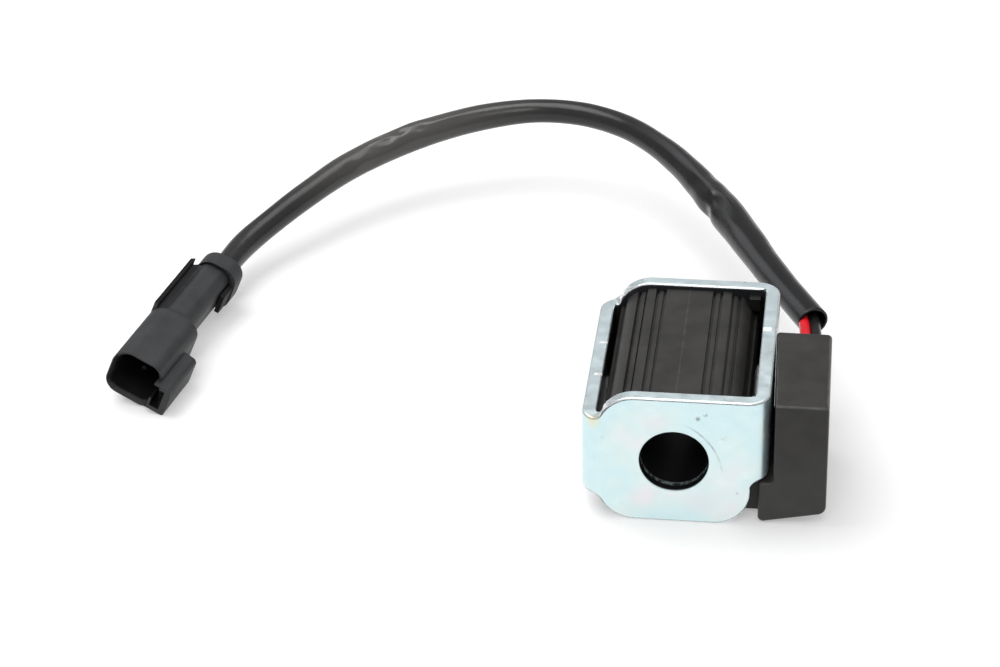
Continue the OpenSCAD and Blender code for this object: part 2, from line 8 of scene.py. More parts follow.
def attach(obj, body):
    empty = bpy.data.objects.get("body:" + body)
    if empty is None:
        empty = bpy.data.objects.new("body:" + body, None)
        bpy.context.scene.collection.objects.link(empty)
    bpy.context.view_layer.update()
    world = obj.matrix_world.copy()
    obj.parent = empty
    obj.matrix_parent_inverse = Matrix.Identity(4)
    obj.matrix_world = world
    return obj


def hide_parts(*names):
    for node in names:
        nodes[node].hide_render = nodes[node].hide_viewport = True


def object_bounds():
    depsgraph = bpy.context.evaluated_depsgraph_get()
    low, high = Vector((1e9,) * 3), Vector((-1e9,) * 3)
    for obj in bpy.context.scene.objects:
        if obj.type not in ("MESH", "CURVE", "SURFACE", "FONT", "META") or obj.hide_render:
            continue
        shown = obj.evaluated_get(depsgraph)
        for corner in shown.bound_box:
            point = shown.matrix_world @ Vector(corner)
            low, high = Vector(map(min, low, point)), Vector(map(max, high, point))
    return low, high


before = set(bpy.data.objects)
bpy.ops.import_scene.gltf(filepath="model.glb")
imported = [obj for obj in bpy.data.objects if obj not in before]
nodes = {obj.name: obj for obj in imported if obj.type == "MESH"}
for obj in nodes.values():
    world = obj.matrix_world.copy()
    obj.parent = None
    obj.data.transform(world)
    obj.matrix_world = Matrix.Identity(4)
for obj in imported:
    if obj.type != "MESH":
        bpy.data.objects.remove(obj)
cad_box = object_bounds()

# Bobbin: the spool that carries the winding and lines the bore, moulded in black nylon.
# Only the smooth inner wall of its tube shows, through the holes in the two plates.
MM = 0.001


def finish_of(name, colour, roughness, metallic=0.0, shine=0.5):
    """A new material with one main colour and gloss."""
    material = bpy.data.materials.new(name)
    material.use_nodes = True
    shader = material.node_tree.nodes["Principled BSDF"]
    shader.inputs["Base Color"].default_value = (*colour, 1)
    shader.inputs["Roughness"].default_value = roughness
    shader.inputs["Metallic"].default_value = metallic
    shader.inputs["Specular IOR Level"].default_value = shine
    return material


def grain(material, size, detail=3.0, stretch=(1, 1, 1)):
    """Noise with lumps about size millimetres across, longer along an axis whose stretch is over 1."""
    tree = material.node_tree
    place = tree.nodes.new("ShaderNodeTexCoord")
    scale = tree.nodes.new("ShaderNodeMapping")
    scale.inputs["Scale"].default_value = [1 / (size * MM * part) for part in stretch]
    lumps = tree.nodes.new("ShaderNodeTexNoise")
    lumps.inputs["Scale"].default_value = 1
    lumps.inputs["Detail"].default_value = detail
    tree.links.new(place.outputs["Object"], scale.inputs["Vector"])
    tree.links.new(scale.outputs["Vector"], lumps.inputs["Vector"])
    return lumps.outputs["Fac"]


def spread(material, source, socket, low, high):
    """Drives a socket of the shader from low to high by a noise."""
    tree = material.node_tree
    span = tree.nodes.new("ShaderNodeMapRange")
    span.inputs["From Min"].default_value = 0.3
    span.inputs["From Max"].default_value = 0.7
    span.inputs["To Min"].default_value = low
    span.inputs["To Max"].default_value = high
    tree.links.new(source, span.inputs["Value"])
    tree.links.new(span.outputs["Result"], tree.nodes["Principled BSDF"].inputs[socket])


def tint(material, source, stops):
    """Colours the surface by a source from 0 to 1, through stops of place and colour."""
    tree = material.node_tree
    ramp = tree.nodes.new("ShaderNodeValToRGB")
    while len(ramp.color_ramp.elements) < len(stops):
        ramp.color_ramp.elements.new(0.5)
    for element, (place, colour) in zip(ramp.color_ramp.elements, stops):
        element.position = place
        element.color = (*colour, 1)
    tree.links.new(source, ramp.inputs["Fac"])
    tree.links.new(ramp.outputs["Color"], tree.nodes["Principled BSDF"].inputs["Base Color"])


def relief(material, source, depth):
    """Raises the surface by a source, depth millimetres from its lowest to its highest."""
    tree = material.node_tree
    bump = tree.nodes.new("ShaderNodeBump")
    bump.inputs["Distance"].default_value = depth * MM
    normal = tree.nodes["Principled BSDF"].inputs["Normal"]
    if normal.links:
        tree.links.new(normal.links[0].from_socket, bump.inputs["Normal"])
    tree.links.new(source, bump.inputs["Height"])
    tree.links.new(bump.outputs["Normal"], normal)


def shade(colour, share):
    return tuple(part * share for part in colour)


def moulded_plastic(name, colour, roughness, pebble, depth):
    """Moulded plastic: a pebbled skin, with cloudy patches that are paler and glossier than the rest."""
    material = finish_of(name, colour, roughness, shine=0.25)
    patches = grain(material, 5)
    tint(material, patches, [(0.3, shade(colour, 0.8)), (0.7, shade(colour, 1.2))])
    spread(material, patches, "Roughness", roughness - 0.06, roughness + 0.06)
    relief(material, grain(material, pebble), depth)
    return material


def dress(node, material):
    """Gives a CAD node a material in every slot."""
    for slot in nodes[node].material_slots:
        slot.material = material


BOBBIN_BLACK = (0.008, 0.008, 0.009)
dress("bobbin", moulded_plastic("bobbin_nylon", BOBBIN_BLACK, 0.35, 0.3, 0.01))

# Winding: some hundred turns of enamelled copper wire laid side by side on the bobbin.
# The turns show as fine rings around the bore's axis, with a warm lacquered gloss.
COPPER = (0.62, 0.25, 0.1)
WIRE_PITCH = 0.5


def rings(material, pitch, axis):
    """Bands along an axis, one to every pitch millimetres."""
    tree = material.node_tree
    place = tree.nodes.new("ShaderNodeTexCoord")
    bands = tree.nodes.new("ShaderNodeTexWave")
    bands.bands_direction = axis
    bands.inputs["Scale"].default_value = math.pi / (10 * pitch * MM)
    bands.inputs["Distortion"].default_value = 0.4
    tree.links.new(place.outputs["Object"], bands.inputs["Vector"])
    return bands.outputs["Fac"]


copper = finish_of("enamelled_copper", COPPER, 0.3, metallic=1.0)
spread(copper, grain(copper, 3), "Roughness", 0.22, 0.4)
relief(copper, rings(copper, WIRE_PITCH, "Y"), 0.15)
dress("winding", copper)

# Winding tape: two layers of amber polyester film wrapped over the turns to hold them.
# It is thin, smooth and slightly wrinkled where the turns press through.
TAPE_AMBER = (0.52, 0.36, 0.09)
tape = finish_of("polyester_tape", TAPE_AMBER, 0.28)
tint(tape, grain(tape, 6), [(0.3, shade(TAPE_AMBER, 0.75)), (0.7, TAPE_AMBER)])
relief(tape, rings(tape, 2 * WIRE_PITCH, "Y"), 0.03)
dress("winding_tape", tape)

# Terminals: two stamped brass strips from the winding's ends up into the terminal box.
# The rolled sheet keeps a fine grain and dull patches of tarnish.
BRASS = (0.68, 0.5, 0.2)
brass = finish_of("stamped_brass", BRASS, 0.3, metallic=1.0)
tint(brass, grain(brass, 4), [(0.35, shade(BRASS, 0.75)), (0.7, BRASS)])
spread(brass, grain(brass, 0.4, stretch=(8, 1, 1)), "Roughness", 0.22, 0.42)
relief(brass, grain(brass, 0.15, stretch=(12, 1, 1)), 0.006)
dress("start_terminal", brass)
dress("finish_terminal", brass)

# Ferrules: tin-plated crimp barrels that join the lead's wires to the terminals.
# Pressed in a die, so the skin is bright with small flats and dull spots.
TIN = (0.6, 0.6, 0.58)
tin = finish_of("tin_plate", TIN, 0.3, metallic=1.0)
spread(tin, grain(tin, 0.8), "Roughness", 0.2, 0.42)
tint(tin, grain(tin, 1.5), [(0.3, shade(TIN, 0.8)), (0.7, TIN)])
relief(tin, grain(tin, 0.3), 0.01)
dress("red_ferrule", tin)
dress("black_ferrule", tin)

# Coil moulding: the black plastic body cast over the wound bobbin, ribbed along its length.
# Each rib stands in a shallow groove, a fine flash line marks where the mould's halves met,
# and a neck below the right wall carries the leads out to the terminal box.
COIL_BLACK = (0.032, 0.0308, 0.0292)
YOKE_DEPTH, YOKE_WIDTH, YOKE_HEIGHT, SHEET = 44.2, 35.6, 27.8, 2.8
COIL_LENGTH = YOKE_DEPTH - 2 * SHEET
COIL_HALF_X, COIL_HALF_Z, COIL_RADIUS = 14.0, 12.9, 7.3
TAPE_RADIUS = 11.5
GROOVE_X = 5.6
GROOVE_ANGLES = (21.2, 58.9)
GROOVE_HALF, GROOVE_DEPTH, RIB_HALF, RIB_DROP = 1.0, 0.9, 0.45, 0.45
FLASH_HALF, FLASH_RISE = 0.2, 0.1


def arc(centre, radius, start, end, steps):
    """Points of an arc from the angle start to the angle end, in degrees anticlockwise."""
    turns = [math.radians(start + (end - start) * i / steps) for i in range(steps + 1)]
    return [(centre[0] + radius * math.cos(a), centre[1] + radius * math.sin(a)) for a in turns]


def groove(origin, outward, edge):
    """A groove with a rib in it, across the skin at a point. Edge is the skin's height at its sides."""
    along = (outward[1], -outward[0])
    steps = [(GROOVE_HALF, edge), (GROOVE_HALF, -GROOVE_DEPTH)]
    steps += [(RIB_HALF, -GROOVE_DEPTH), (RIB_HALF, -RIB_DROP)]
    path = [(-a, h) for a, h in steps] + steps[::-1]
    return [tuple(origin[i] + along[i] * a + outward[i] * h for i in (0, 1)) for a, h in path]


def coil_quarter():
    """The skin from the middle of the top to the middle of the right side, in X and Z."""
    centre = (COIL_HALF_X - COIL_RADIUS, COIL_HALF_Z - COIL_RADIUS)
    half_turn = math.degrees(math.asin(GROOVE_HALF / COIL_RADIUS))
    edge = COIL_RADIUS * (math.cos(math.radians(half_turn)) - 1)
    path = [(0, COIL_HALF_Z + FLASH_RISE), (FLASH_HALF, COIL_HALF_Z)]
    path += groove((GROOVE_X, COIL_HALF_Z), (0, 1), 0)
    start = 90
    for angle in GROOVE_ANGLES:
        turn = math.radians(90 - angle)
        outward = (math.cos(turn), math.sin(turn))
        path += arc(centre, COIL_RADIUS, start, 90 - angle + half_turn, 6)[:-1]
        path += groove([centre[i] + COIL_RADIUS * outward[i] for i in (0, 1)], outward, edge)
        start = 90 - angle - half_turn
    path += arc(centre, COIL_RADIUS, start, 0, 6)[1:]
    return path + [(COIL_HALF_X, 0)]


def coil_skin():
    quarter = coil_quarter()
    right = quarter + [(x, -z) for x, z in quarter[-2::-1]]
    return right + [(-x, z) for x, z in right[-2:0:-1]]


def prism(name, outline, axis, start, end):
    """A filled outline pushed out along an axis. Its two numbers lie on the other two axes."""
    bpy.ops.object.select_all(action="DESELECT")
    bpy.ops.mesh.primitive_circle_add(vertices=len(outline), fill_type="NGON")
    piece = bpy.context.object
    piece.name = name
    for vertex, spot in zip(piece.data.vertices, outline):
        place = list(spot)
        place.insert(axis, start)
        vertex.co = Vector(place) * MM
    push = [0, 0, 0]
    push[axis] = (end - start) * MM
    bpy.ops.object.mode_set(mode="EDIT")
    bpy.ops.mesh.select_all(action="SELECT")
    bpy.ops.mesh.extrude_region_move(TRANSFORM_OT_translate={"value": push})
    bpy.ops.mesh.select_all(action="SELECT")
    bpy.ops.mesh.normals_make_consistent(inside=False)
    bpy.ops.object.mode_set(mode="OBJECT")
    return piece


def block(name, low, high):
    """A cube stretched between two corners."""
    bpy.ops.object.select_all(action="DESELECT")
    bpy.ops.mesh.primitive_cube_add(size=1)
    piece = bpy.context.object
    piece.name = name
    piece.scale = [(b - a) * MM for a, b in zip(low, high)]
    piece.location = [(a + b) / 2 * MM for a, b in zip(low, high)]
    bpy.ops.object.transform_apply(location=True, rotation=True, scale=True)
    return piece


def rod_y(name, radius, start, end, x=0.0, z=0.0):
    """A round bar along Y."""
    bpy.ops.object.select_all(action="DESELECT")
    bpy.ops.mesh.primitive_cylinder_add(
        vertices=96, radius=radius * MM, depth=(end - start) * MM,
        location=(x * MM, (start + end) / 2 * MM, z * MM), rotation=(math.pi / 2, 0, 0))
    piece = bpy.context.object
    piece.name = name
    bpy.ops.object.transform_apply(location=True, rotation=True, scale=True)
    return piece


def apply_modifier(piece, modifier):
    bpy.context.view_layer.objects.active = piece
    bpy.ops.object.modifier_apply(modifier=modifier.name)


def combine(piece, tool, way):
    """Cuts, joins or trims a piece with a tool, which is then thrown away."""
    modifier = piece.modifiers.new("combine", "BOOLEAN")
    modifier.operation = way
    modifier.object = tool
    modifier.solver = "EXACT"
    apply_modifier(piece, modifier)
    bpy.data.objects.remove(tool, do_unlink=True)


def smooth(piece, corner=35):
    """Smooth shading across edges flatter than corner degrees, with the flats kept flat."""
    bpy.ops.object.select_all(action="DESELECT")
    piece.select_set(True)
    bpy.context.view_layer.objects.active = piece
    bpy.ops.object.shade_smooth_by_angle(angle=math.radians(corner))
    flats = piece.modifiers.new("flats", "WEIGHTED_NORMAL")
    flats.keep_sharp = True
    apply_modifier(piece, flats)


def soften(piece, width, segments=2, corner=35, clamp=True):
    """Breaks every edge that is sharper than corner degrees."""
    bpy.ops.object.select_all(action="DESELECT")
    piece.select_set(True)
    bpy.context.view_layer.objects.active = piece
    bpy.ops.object.mode_set(mode="EDIT")
    bpy.ops.mesh.select_all(action="SELECT")
    bpy.ops.mesh.remove_doubles(threshold=0.002 * MM)
    bpy.ops.mesh.dissolve_limited(angle_limit=math.radians(0.3))
    bpy.ops.object.mode_set(mode="OBJECT")
    modifier = piece.modifiers.new("edges", "BEVEL")
    modifier.width = width * MM
    modifier.segments = segments
    modifier.limit_method = "ANGLE"
    modifier.angle_limit = math.radians(corner)
    modifier.miter_outer = "MITER_ARC"
    modifier.use_clamp_overlap = clamp
    apply_modifier(piece, modifier)
    smooth(piece, corner)


def settle(piece, material, body, slot, *stands_for):
    """Gives a finished piece its material and its body, and hides the CAD nodes that it stands for."""
    piece.data.materials.clear()
    piece.data.materials.append(material)
    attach(piece, body)
    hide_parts(*stands_for)


def lay(material, colour, share):
    """Lays a colour over the surface, as strong as a share from 0 to 1."""
    tree = material.node_tree
    skin = tree.nodes["Principled BSDF"].inputs["Base Color"]
    over = tree.nodes.new("ShaderNodeMix")
    over.data_type = "RGBA"
    tree.links.new(skin.links[0].from_socket, over.inputs[6])
    if isinstance(colour, tuple):
        over.inputs[7].default_value = (*colour, 1)
    else:
        tree.links.new(colour, over.inputs[7])
    tree.links.new(share, over.inputs[0])
    tree.links.new(over.outputs[2], skin)


def fade(material, source, start, end, low, high):
    """Turns a source that runs from start to end into a share from low to high."""
    tree = material.node_tree
    span = tree.nodes.new("ShaderNodeMapRange")
    for name, value in (("From Min", start), ("From Max", end), ("To Min", low), ("To Max", high)):
        span.inputs[name].default_value = value
    tree.links.new(source, span.inputs["Value"])
    return span.outputs["Result"]


def sums(material, way, a, b):
    """One sum of two sources, or of a source and a number."""
    tree = material.node_tree
    node = tree.nodes.new("ShaderNodeMath")
    node.operation = way
    tree.links.new(a, node.inputs[0])
    if isinstance(b, float):
        node.inputs[1].default_value = b
    elif b is not None:
        tree.links.new(b, node.inputs[1])
    return node.outputs["Value"]


def distance(material, place):
    """Distance from a place on the piece, in metres."""
    tree = material.node_tree
    here = tree.nodes.new("ShaderNodeTexCoord")
    gap = tree.nodes.new("ShaderNodeVectorMath")
    gap.operation = "DISTANCE"
    gap.inputs[1].default_value = [part * MM for part in place]
    tree.links.new(here.outputs["Object"], gap.inputs[0])
    return gap.outputs["Value"]


COIL_END = COIL_LENGTH / 2
NECK_LOW, NECK_HIGH = (6.7, -17.8, -12.9), (16.5, 3.0, -4.9)
LUG_LOW, LUG_HIGH = (11.8, 17.5, 9.9), (14.0, 19.3, 12.5)
coil_plastic = moulded_plastic("coil_plastic", COIL_BLACK, 0.42, 0.25, 0.012)
# The flash line is painted paler than the skin: a painted highlight on its ridge, broken in patches
FLASH_HIGHLIGHT = (0.1, 0.094, 0.085)
here = coil_plastic.node_tree.nodes.new("ShaderNodeTexCoord")
parts = coil_plastic.node_tree.nodes.new("ShaderNodeSeparateXYZ")
coil_plastic.node_tree.links.new(here.outputs["Object"], parts.inputs["Vector"])
off_line = sums(coil_plastic, "ABSOLUTE", parts.outputs["X"], None)
on_line = fade(coil_plastic, off_line, 0.08 * MM, 0.2 * MM, 0.4, 0)
broken_here = fade(coil_plastic, grain(coil_plastic, 2.5), 0.35, 0.6, 0.3, 1)
lay(coil_plastic, FLASH_HIGHLIGHT, sums(coil_plastic, "MULTIPLY", on_line, broken_here))
# The lug is painted darker: painted shade in the far corner by the right wall
lug_shade = fade(coil_plastic, distance(coil_plastic, (12.9, 18.4, 11.5)), 1.6 * MM, 2.8 * MM, 0.8, 0)
lay(coil_plastic, shade(COIL_BLACK, 0.35), lug_shade)
coil = prism("coil_body", coil_skin(), 1, -COIL_END, COIL_END)
combine(coil, block("neck", NECK_LOW, NECK_HIGH), "UNION")
combine(coil, block("lug", LUG_LOW, LUG_HIGH), "UNION")
combine(coil, rod_y("winding_space", TAPE_RADIUS, -COIL_END - 1, COIL_END + 1), "DIFFERENCE")
soften(coil, 0.08, clamp=False)
settle(coil, coil_plastic, "coil", "coil_plastic", "coil_moulding")

# Yoke: two halves of bent mild steel, zinc plated and passivated to a pale blue-white.
# Each half is a blanked plate with the bore's hole and two bent walls. A dovetail in each wall
# locks the halves, and a chisel has staked the walls' edges. The blanked edges are rolled over.
BEND_RADIUS, BORE_RADIUS = 4.2, 6.5
PLATE_HALF_Z = YOKE_HEIGHT / 2
CORNER_RADIUS, CORNER_X, CORNER_Z = 7.2, 7.4, 6.7
PLATE_EDGE_X = CORNER_X + CORNER_RADIUS
WALL_TOP_LEFT, WALL_FOOT_RIGHT = 8.6, -4.0
LEFT_FILLET, RIGHT_FILLET = 2.6, 1.8
SEAM_Y, TONGUE_LENGTH, TONGUE_HALF, TONGUE_FLARE = 3.3, 4.0, 3.5, 1.0
EDGE_ROLL, SEAM_ROLL, BEND_STEPS = 0.45, 0.06, 14
BEND_START = YOKE_WIDTH / 2 - BEND_RADIUS
# Each chisel mark on a wall's edge: X from and to, Y, half its width, the edge's Z
STAKE_DEPTH = 0.15
FRONT_STAKES = [(-16.7, -14.9, -6.2, 0.45, WALL_TOP_LEFT)]
REAR_STAKES = [(-16.7, -14.9, 5.2, 0.45, WALL_TOP_LEFT), (14.9, 16.8, 4.6, 0.75, PLATE_HALF_Z)]


def left_step():
    """The plate's free corner and the fillet down to the left wall's edge, from the plate outwards."""
    drop = WALL_TOP_LEFT + LEFT_FILLET - CORNER_Z
    reach = math.sqrt((CORNER_RADIUS + LEFT_FILLET) ** 2 - drop ** 2)
    meet = math.degrees(math.atan2(drop, -reach))
    corner = arc((-CORNER_X, CORNER_Z), CORNER_RADIUS, 90, meet, 12)
    fillet = arc((-CORNER_X - reach, CORNER_Z + drop), LEFT_FILLET, meet - 180, -90, 8)
    return corner + fillet[1:]


def along_sheet(x):
    """How far along the sheet's outer face, from the plate's middle, a point at x lies."""
    lean = math.asin(min(max((abs(x) - BEND_START) / BEND_RADIUS, 0), 1))
    return math.copysign(min(abs(x), BEND_START) + BEND_RADIUS * lean, x)


def flat_blank(name, wall):
    """The flat sheet of one half, cut to its outline, with the bore's hole and its rolled edges."""
    end = BEND_START + BEND_RADIUS * math.pi / 2 + wall
    left = [(along_sheet(x), z) for x, z in left_step()] + [(-end, WALL_TOP_LEFT)]
    right = arc((CORNER_X, -CORNER_Z), CORNER_RADIUS, -90, 0, 12)
    foot = (PLATE_EDGE_X + RIGHT_FILLET, WALL_FOOT_RIGHT - RIGHT_FILLET)
    right += arc(foot, RIGHT_FILLET, 180, 90, 6)[1:]
    right = [(along_sheet(x), z) for x, z in right] + [(end, WALL_FOOT_RIGHT), (end, PLATE_HALF_Z)]
    blank = prism(name, [(x, -z) for x, z in left[::-1]] + right + left, 1, 0, SHEET)
    combine(blank, rod_y("bore", BORE_RADIUS, -1, SHEET + 1), "DIFFERENCE")
    soften(blank, EDGE_ROLL, segments=4)
    return blank


def bend(piece, side):
    """Bends both walls of a flat sheet back from its plate; side is -1 for the front half, 1 for the rear."""
    quarter = BEND_RADIUS * math.pi / 2
    bpy.ops.object.select_all(action="DESELECT")
    piece.select_set(True)
    bpy.context.view_layer.objects.active = piece
    bpy.ops.object.mode_set(mode="EDIT")
    for step in range(BEND_STEPS + 1):
        for x in (BEND_START + quarter * step / BEND_STEPS, -BEND_START - quarter * step / BEND_STEPS):
            bpy.ops.mesh.select_all(action="SELECT")
            bpy.ops.mesh.bisect(plane_co=(x * MM, 0, 0), plane_no=(1, 0, 0))
    bpy.ops.object.mode_set(mode="OBJECT")
    for vertex in piece.data.vertices:
        x, depth, z = vertex.co / MM
        past = max(abs(x) - BEND_START, 0)
        turn = min(past / BEND_RADIUS, math.pi / 2)
        inner = BEND_RADIUS - depth
        out = min(abs(x), BEND_START) + inner * math.sin(turn)
        back = BEND_RADIUS - inner * math.cos(turn) + max(past - quarter, 0)
        vertex.co = Vector((math.copysign(out, x), side * (YOKE_DEPTH / 2 - back), z)) * MM
    bpy.ops.object.mode_set(mode="EDIT")
    bpy.ops.mesh.select_all(action="SELECT")
    bpy.ops.mesh.normals_make_consistent(inside=False)
    bpy.ops.object.mode_set(mode="OBJECT")


def seam_side(name):
    """All that lies behind the seam, with a dovetail reaching forward in each wall."""
    far, tall = YOKE_DEPTH, YOKE_HEIGHT
    side = block(name, (-far, SEAM_Y, -tall), (far, far, tall))
    root, tip = SEAM_Y + 1, SEAM_Y - TONGUE_LENGTH
    wide = TONGUE_HALF + TONGUE_FLARE
    for start, middle in ((-YOKE_WIDTH / 2 - 1, 0), (YOKE_WIDTH / 2 - SHEET - 0.5, 4.95)):
        tail = [(root, -TONGUE_HALF), (SEAM_Y, -TONGUE_HALF), (tip, -wide), (tip, wide),
                (SEAM_Y, TONGUE_HALF), (root, TONGUE_HALF)]
        tongue = prism("tongue", [(y, z + middle) for y, z in tail], 0, start, start + SHEET + 1.5)
        combine(side, tongue, "UNION")
    return side


def stake(piece, marks):
    """Presses the chisel marks into a wall's edge."""
    for x0, x1, y, half, top in marks:
        chisel = block("chisel", (x0, y - half, top - STAKE_DEPTH), (x1, y + half, top + 1))
        combine(piece, chisel, "DIFFERENCE")


def brighten(piece, marks, material):
    """Gives the bottoms of the chisel marks a near-white colour: freshly cut zinc with a painted glint."""
    piece.data.materials.append(material)
    for face in piece.data.polygons:
        x, y, z = face.center / MM
        for x0, x1, middle, half, top in marks:
            if x0 < x < x1 and abs(y - middle) < half + 0.05 and abs(z - top) < STAKE_DEPTH + 0.01:
                face.material_index = 1


def rolled_edges(material, stops):
    """Colours the blanked edges by how far they lean: a painted shade line at the face, a ragged painted
    glint where the edge rolls over, and dull sheared metal across the top."""
    tree = material.node_tree
    here = tree.nodes.new("ShaderNodeTexCoord")
    parts = tree.nodes.new("ShaderNodeSeparateXYZ")
    tree.links.new(here.outputs["Normal"], parts.inputs["Vector"])
    lean = sums(material, "ABSOLUTE", parts.outputs["Z"], None)
    ragged = fade(material, grain(material, 0.9, detail=4.0), 0.3, 0.7, 0.65, 1.35)
    flat = fade(material, lean, 0.9, 0.97, 0, 1)
    lean = sums(material, "MAXIMUM", sums(material, "MULTIPLY", lean, ragged), flat)
    ramp = tree.nodes.new("ShaderNodeValToRGB")
    while len(ramp.color_ramp.elements) < len(stops):
        ramp.color_ramp.elements.new(0.5)
    for element, (place, colour) in zip(ramp.color_ramp.elements, stops):
        element.position = place
        element.color = (*colour, 1)
    tree.links.new(lean, ramp.inputs["Fac"])
    lay(material, ramp.outputs["Color"], fade(material, lean, 0.06, 0.16, 0, 1))


ZINC = (0.72, 0.86, 0.86)
ZINC_BLUE, ZINC_STRAW, ZINC_ROSE = (0.66, 0.85, 0.88), (0.84, 0.86, 0.76), (0.86, 0.84, 0.86)
ZINC_SHEARED, ZINC_GLINT, ZINC_SHADE_LINE = (0.72, 0.83, 0.86), (0.97, 0.98, 0.98), (0.12, 0.13, 0.14)
ZINC_WORN = (0.5, 0.55, 0.57)
zinc = finish_of("zinc_plate", ZINC, 0.3, metallic=0.8)
tint(zinc, grain(zinc, 14, detail=2.0),
     [(0.25, ZINC_ROSE), (0.42, ZINC), (0.55, ZINC_BLUE), (0.68, ZINC), (0.8, ZINC_STRAW)])
# By lean: a dark painted shade line, a bright painted glint, then the dull sheared top
rolled_edges(zinc, [(0.12, ZINC_SHADE_LINE), (0.26, ZINC_SHADE_LINE), (0.36, ZINC_WORN), (0.46, ZINC_GLINT),
                    (0.62, ZINC_GLINT), (0.72, ZINC_WORN), (0.9, ZINC_SHEARED)])
# Scuffs on the front plate's face: X, Z, radius, colour, strength
FACE_Y = -YOKE_DEPTH / 2
SCUFF, PINK, STRAW = (0.2, 0.2, 0.2), (0.86, 0.74, 0.78), (0.85, 0.76, 0.42)
SCUFFS = [(4.4, 10.0, 0.7, SCUFF, 0.8), (5.8, 11.0, 0.6, SCUFF, 0.7), (9.4, 6.0, 0.9, SCUFF, 0.25),
          (12.2, -6.5, 0.4, SCUFF, 0.4), (-13.5, 4.8, 0.6, SCUFF, 0.2), (-15.9, 8.2, 2.4, STRAW, 0.6),
          (-3.6, 8.6, 3.4, PINK, 0.3), (-6.3, -8.4, 3.6, PINK, 0.3), (5.0, -8.8, 4.0, PINK, 0.3)]
broken = fade(zinc, grain(zinc, 0.7, detail=4.0), 0.42, 0.58, 0, 1)
for x, z, radius, colour, strength in SCUFFS:
    mark = fade(zinc, distance(zinc, (x, FACE_Y, z)), 0.2 * radius * MM, radius * MM, strength, 0)
    lay(zinc, colour, sums(zinc, "MULTIPLY", mark, broken) if colour == SCUFF else mark)
# The arc that a nut's corner scraped beside the bore: its middle, its radius and where it is strongest
ARC_MIDDLE, ARC_RADIUS, ARC_STRONGEST = (-3.9, FACE_Y, -3.4), 13.2, (6.8, FACE_Y, 4.0)
off_arc = sums(zinc, "SUBTRACT", distance(zinc, ARC_MIDDLE), ARC_RADIUS * MM)
off_arc = sums(zinc, "ABSOLUTE", off_arc, None)
scrape = sums(zinc, "MULTIPLY", fade(zinc, off_arc, 0.08 * MM, 0.25 * MM, 0.55, 0),
              fade(zinc, distance(zinc, ARC_STRONGEST), 3 * MM, 7 * MM, 1, 0))
patchy = fade(zinc, grain(zinc, 1.5, detail=4.0), 0.35, 0.55, 0.3, 1)
lay(zinc, SCUFF, sums(zinc, "MULTIPLY", scrape, patchy))
# The ring's inside is painted dark: painted shade inside the ring
here = zinc.node_tree.nodes.new("ShaderNodeTexCoord")
parts = zinc.node_tree.nodes.new("ShaderNodeSeparateXYZ")
zinc.node_tree.links.new(here.outputs["Object"], parts.inputs["Vector"])
beyond = [sums(zinc, "SUBTRACT", sums(zinc, "ABSOLUTE", parts.outputs[axis], None), (size / 2 - SHEET) * MM)
          for axis, size in (("X", YOKE_WIDTH), ("Y", YOKE_DEPTH))]
inside = fade(zinc, sums(zinc, "MAXIMUM", *beyond), 0.01 * MM, 0.06 * MM, 1, 0)
lay(zinc, (0.07, 0.075, 0.08), inside)
# The hole's rolled edge is plated like the plate. Its inside is painted dark: a band of painted shade
# at the hole's mouth, then ragged patches of painted shade deeper in
BORE_SHADE, DARK_REACH, ROLL_REACH = (0.035, 0.037, 0.04), BORE_RADIUS + 0.17, BORE_RADIUS + EDGE_ROLL
off_hole = distance(zinc, (0, FACE_Y, 0))
by_roll, by_shade_line = (fade(zinc, off_hole, (reach - 0.04) * MM, (reach + 0.04) * MM, 1, 0)
                    for reach in (ROLL_REACH, DARK_REACH))
lay(zinc, ZINC, by_roll)
deep = fade(zinc, parts.outputs["Y"], (FACE_Y + 0.5) * MM, (FACE_Y + 0.6) * MM, 0, 1)
shade_patches = fade(zinc, grain(zinc, 0.9, detail=4.0), 0.42, 0.58, 0, 0.9)
lay(zinc, BORE_SHADE, sums(zinc, "MULTIPLY", sums(zinc, "MULTIPLY", deep, by_roll), shade_patches))
lay(zinc, BORE_SHADE, by_shade_line)
spread(zinc, grain(zinc, 2.5), "Roughness", 0.26, 0.42)
relief(zinc, grain(zinc, 0.2, stretch=(6, 6, 1)), 0.004)
relief(zinc, grain(zinc, 5), 0.02)
# The chisel marks' bottoms are near-white: fresh-cut zinc with a painted glint
GLINT_WHITE = (0.92, 0.93, 0.94)
glint_zinc = finish_of("glint_zinc", GLINT_WHITE, 0.4, metallic=0.2)
tint(glint_zinc, grain(glint_zinc, 0.6), [(0.2, shade(GLINT_WHITE, 0.8)), (0.4, GLINT_WHITE)])
spread(glint_zinc, grain(glint_zinc, 0.5), "Roughness", 0.3, 0.5)
relief(glint_zinc, grain(glint_zinc, 0.3), 0.01)

WALL_START = YOKE_DEPTH / 2 - BEND_RADIUS
front = flat_blank("yoke_front", WALL_START + SEAM_Y + 1)
bend(front, -1)
combine(front, seam_side("behind_seam"), "DIFFERENCE")
stake(front, FRONT_STAKES)
soften(front, SEAM_ROLL, corner=60)
settle(front, zinc, "coil", "zinc_steel", "front_yoke")
brighten(front, FRONT_STAKES, glint_zinc)

rear = flat_blank("yoke_rear", WALL_START - SEAM_Y + TONGUE_LENGTH + 1)
bend(rear, 1)
combine(rear, seam_side("behind_seam"), "INTERSECT")
stake(rear, REAR_STAKES)
soften(rear, SEAM_ROLL, corner=60)
settle(rear, zinc, "coil", "zinc_steel", "rear_yoke")
brighten(rear, REAR_STAKES, glint_zinc)

# Terminal box: a black plastic housing outside the right wall, with a foot under the wall
# that meets the coil's neck. Moulded with rounded edges and a sloping underside, open at
# the back, where cast resin closes it around the wires.
BOX_Y = (-21.0, 5.4)
BOX_X, BOX_LOW_X, FOOT_X = (18.8, 28.8), 29.0, 16.1
BOX_TOP, BOX_FLOOR, FOOT_TOP, FLOOR_RISE = 13.0, -13.8, -4.7, 2.7
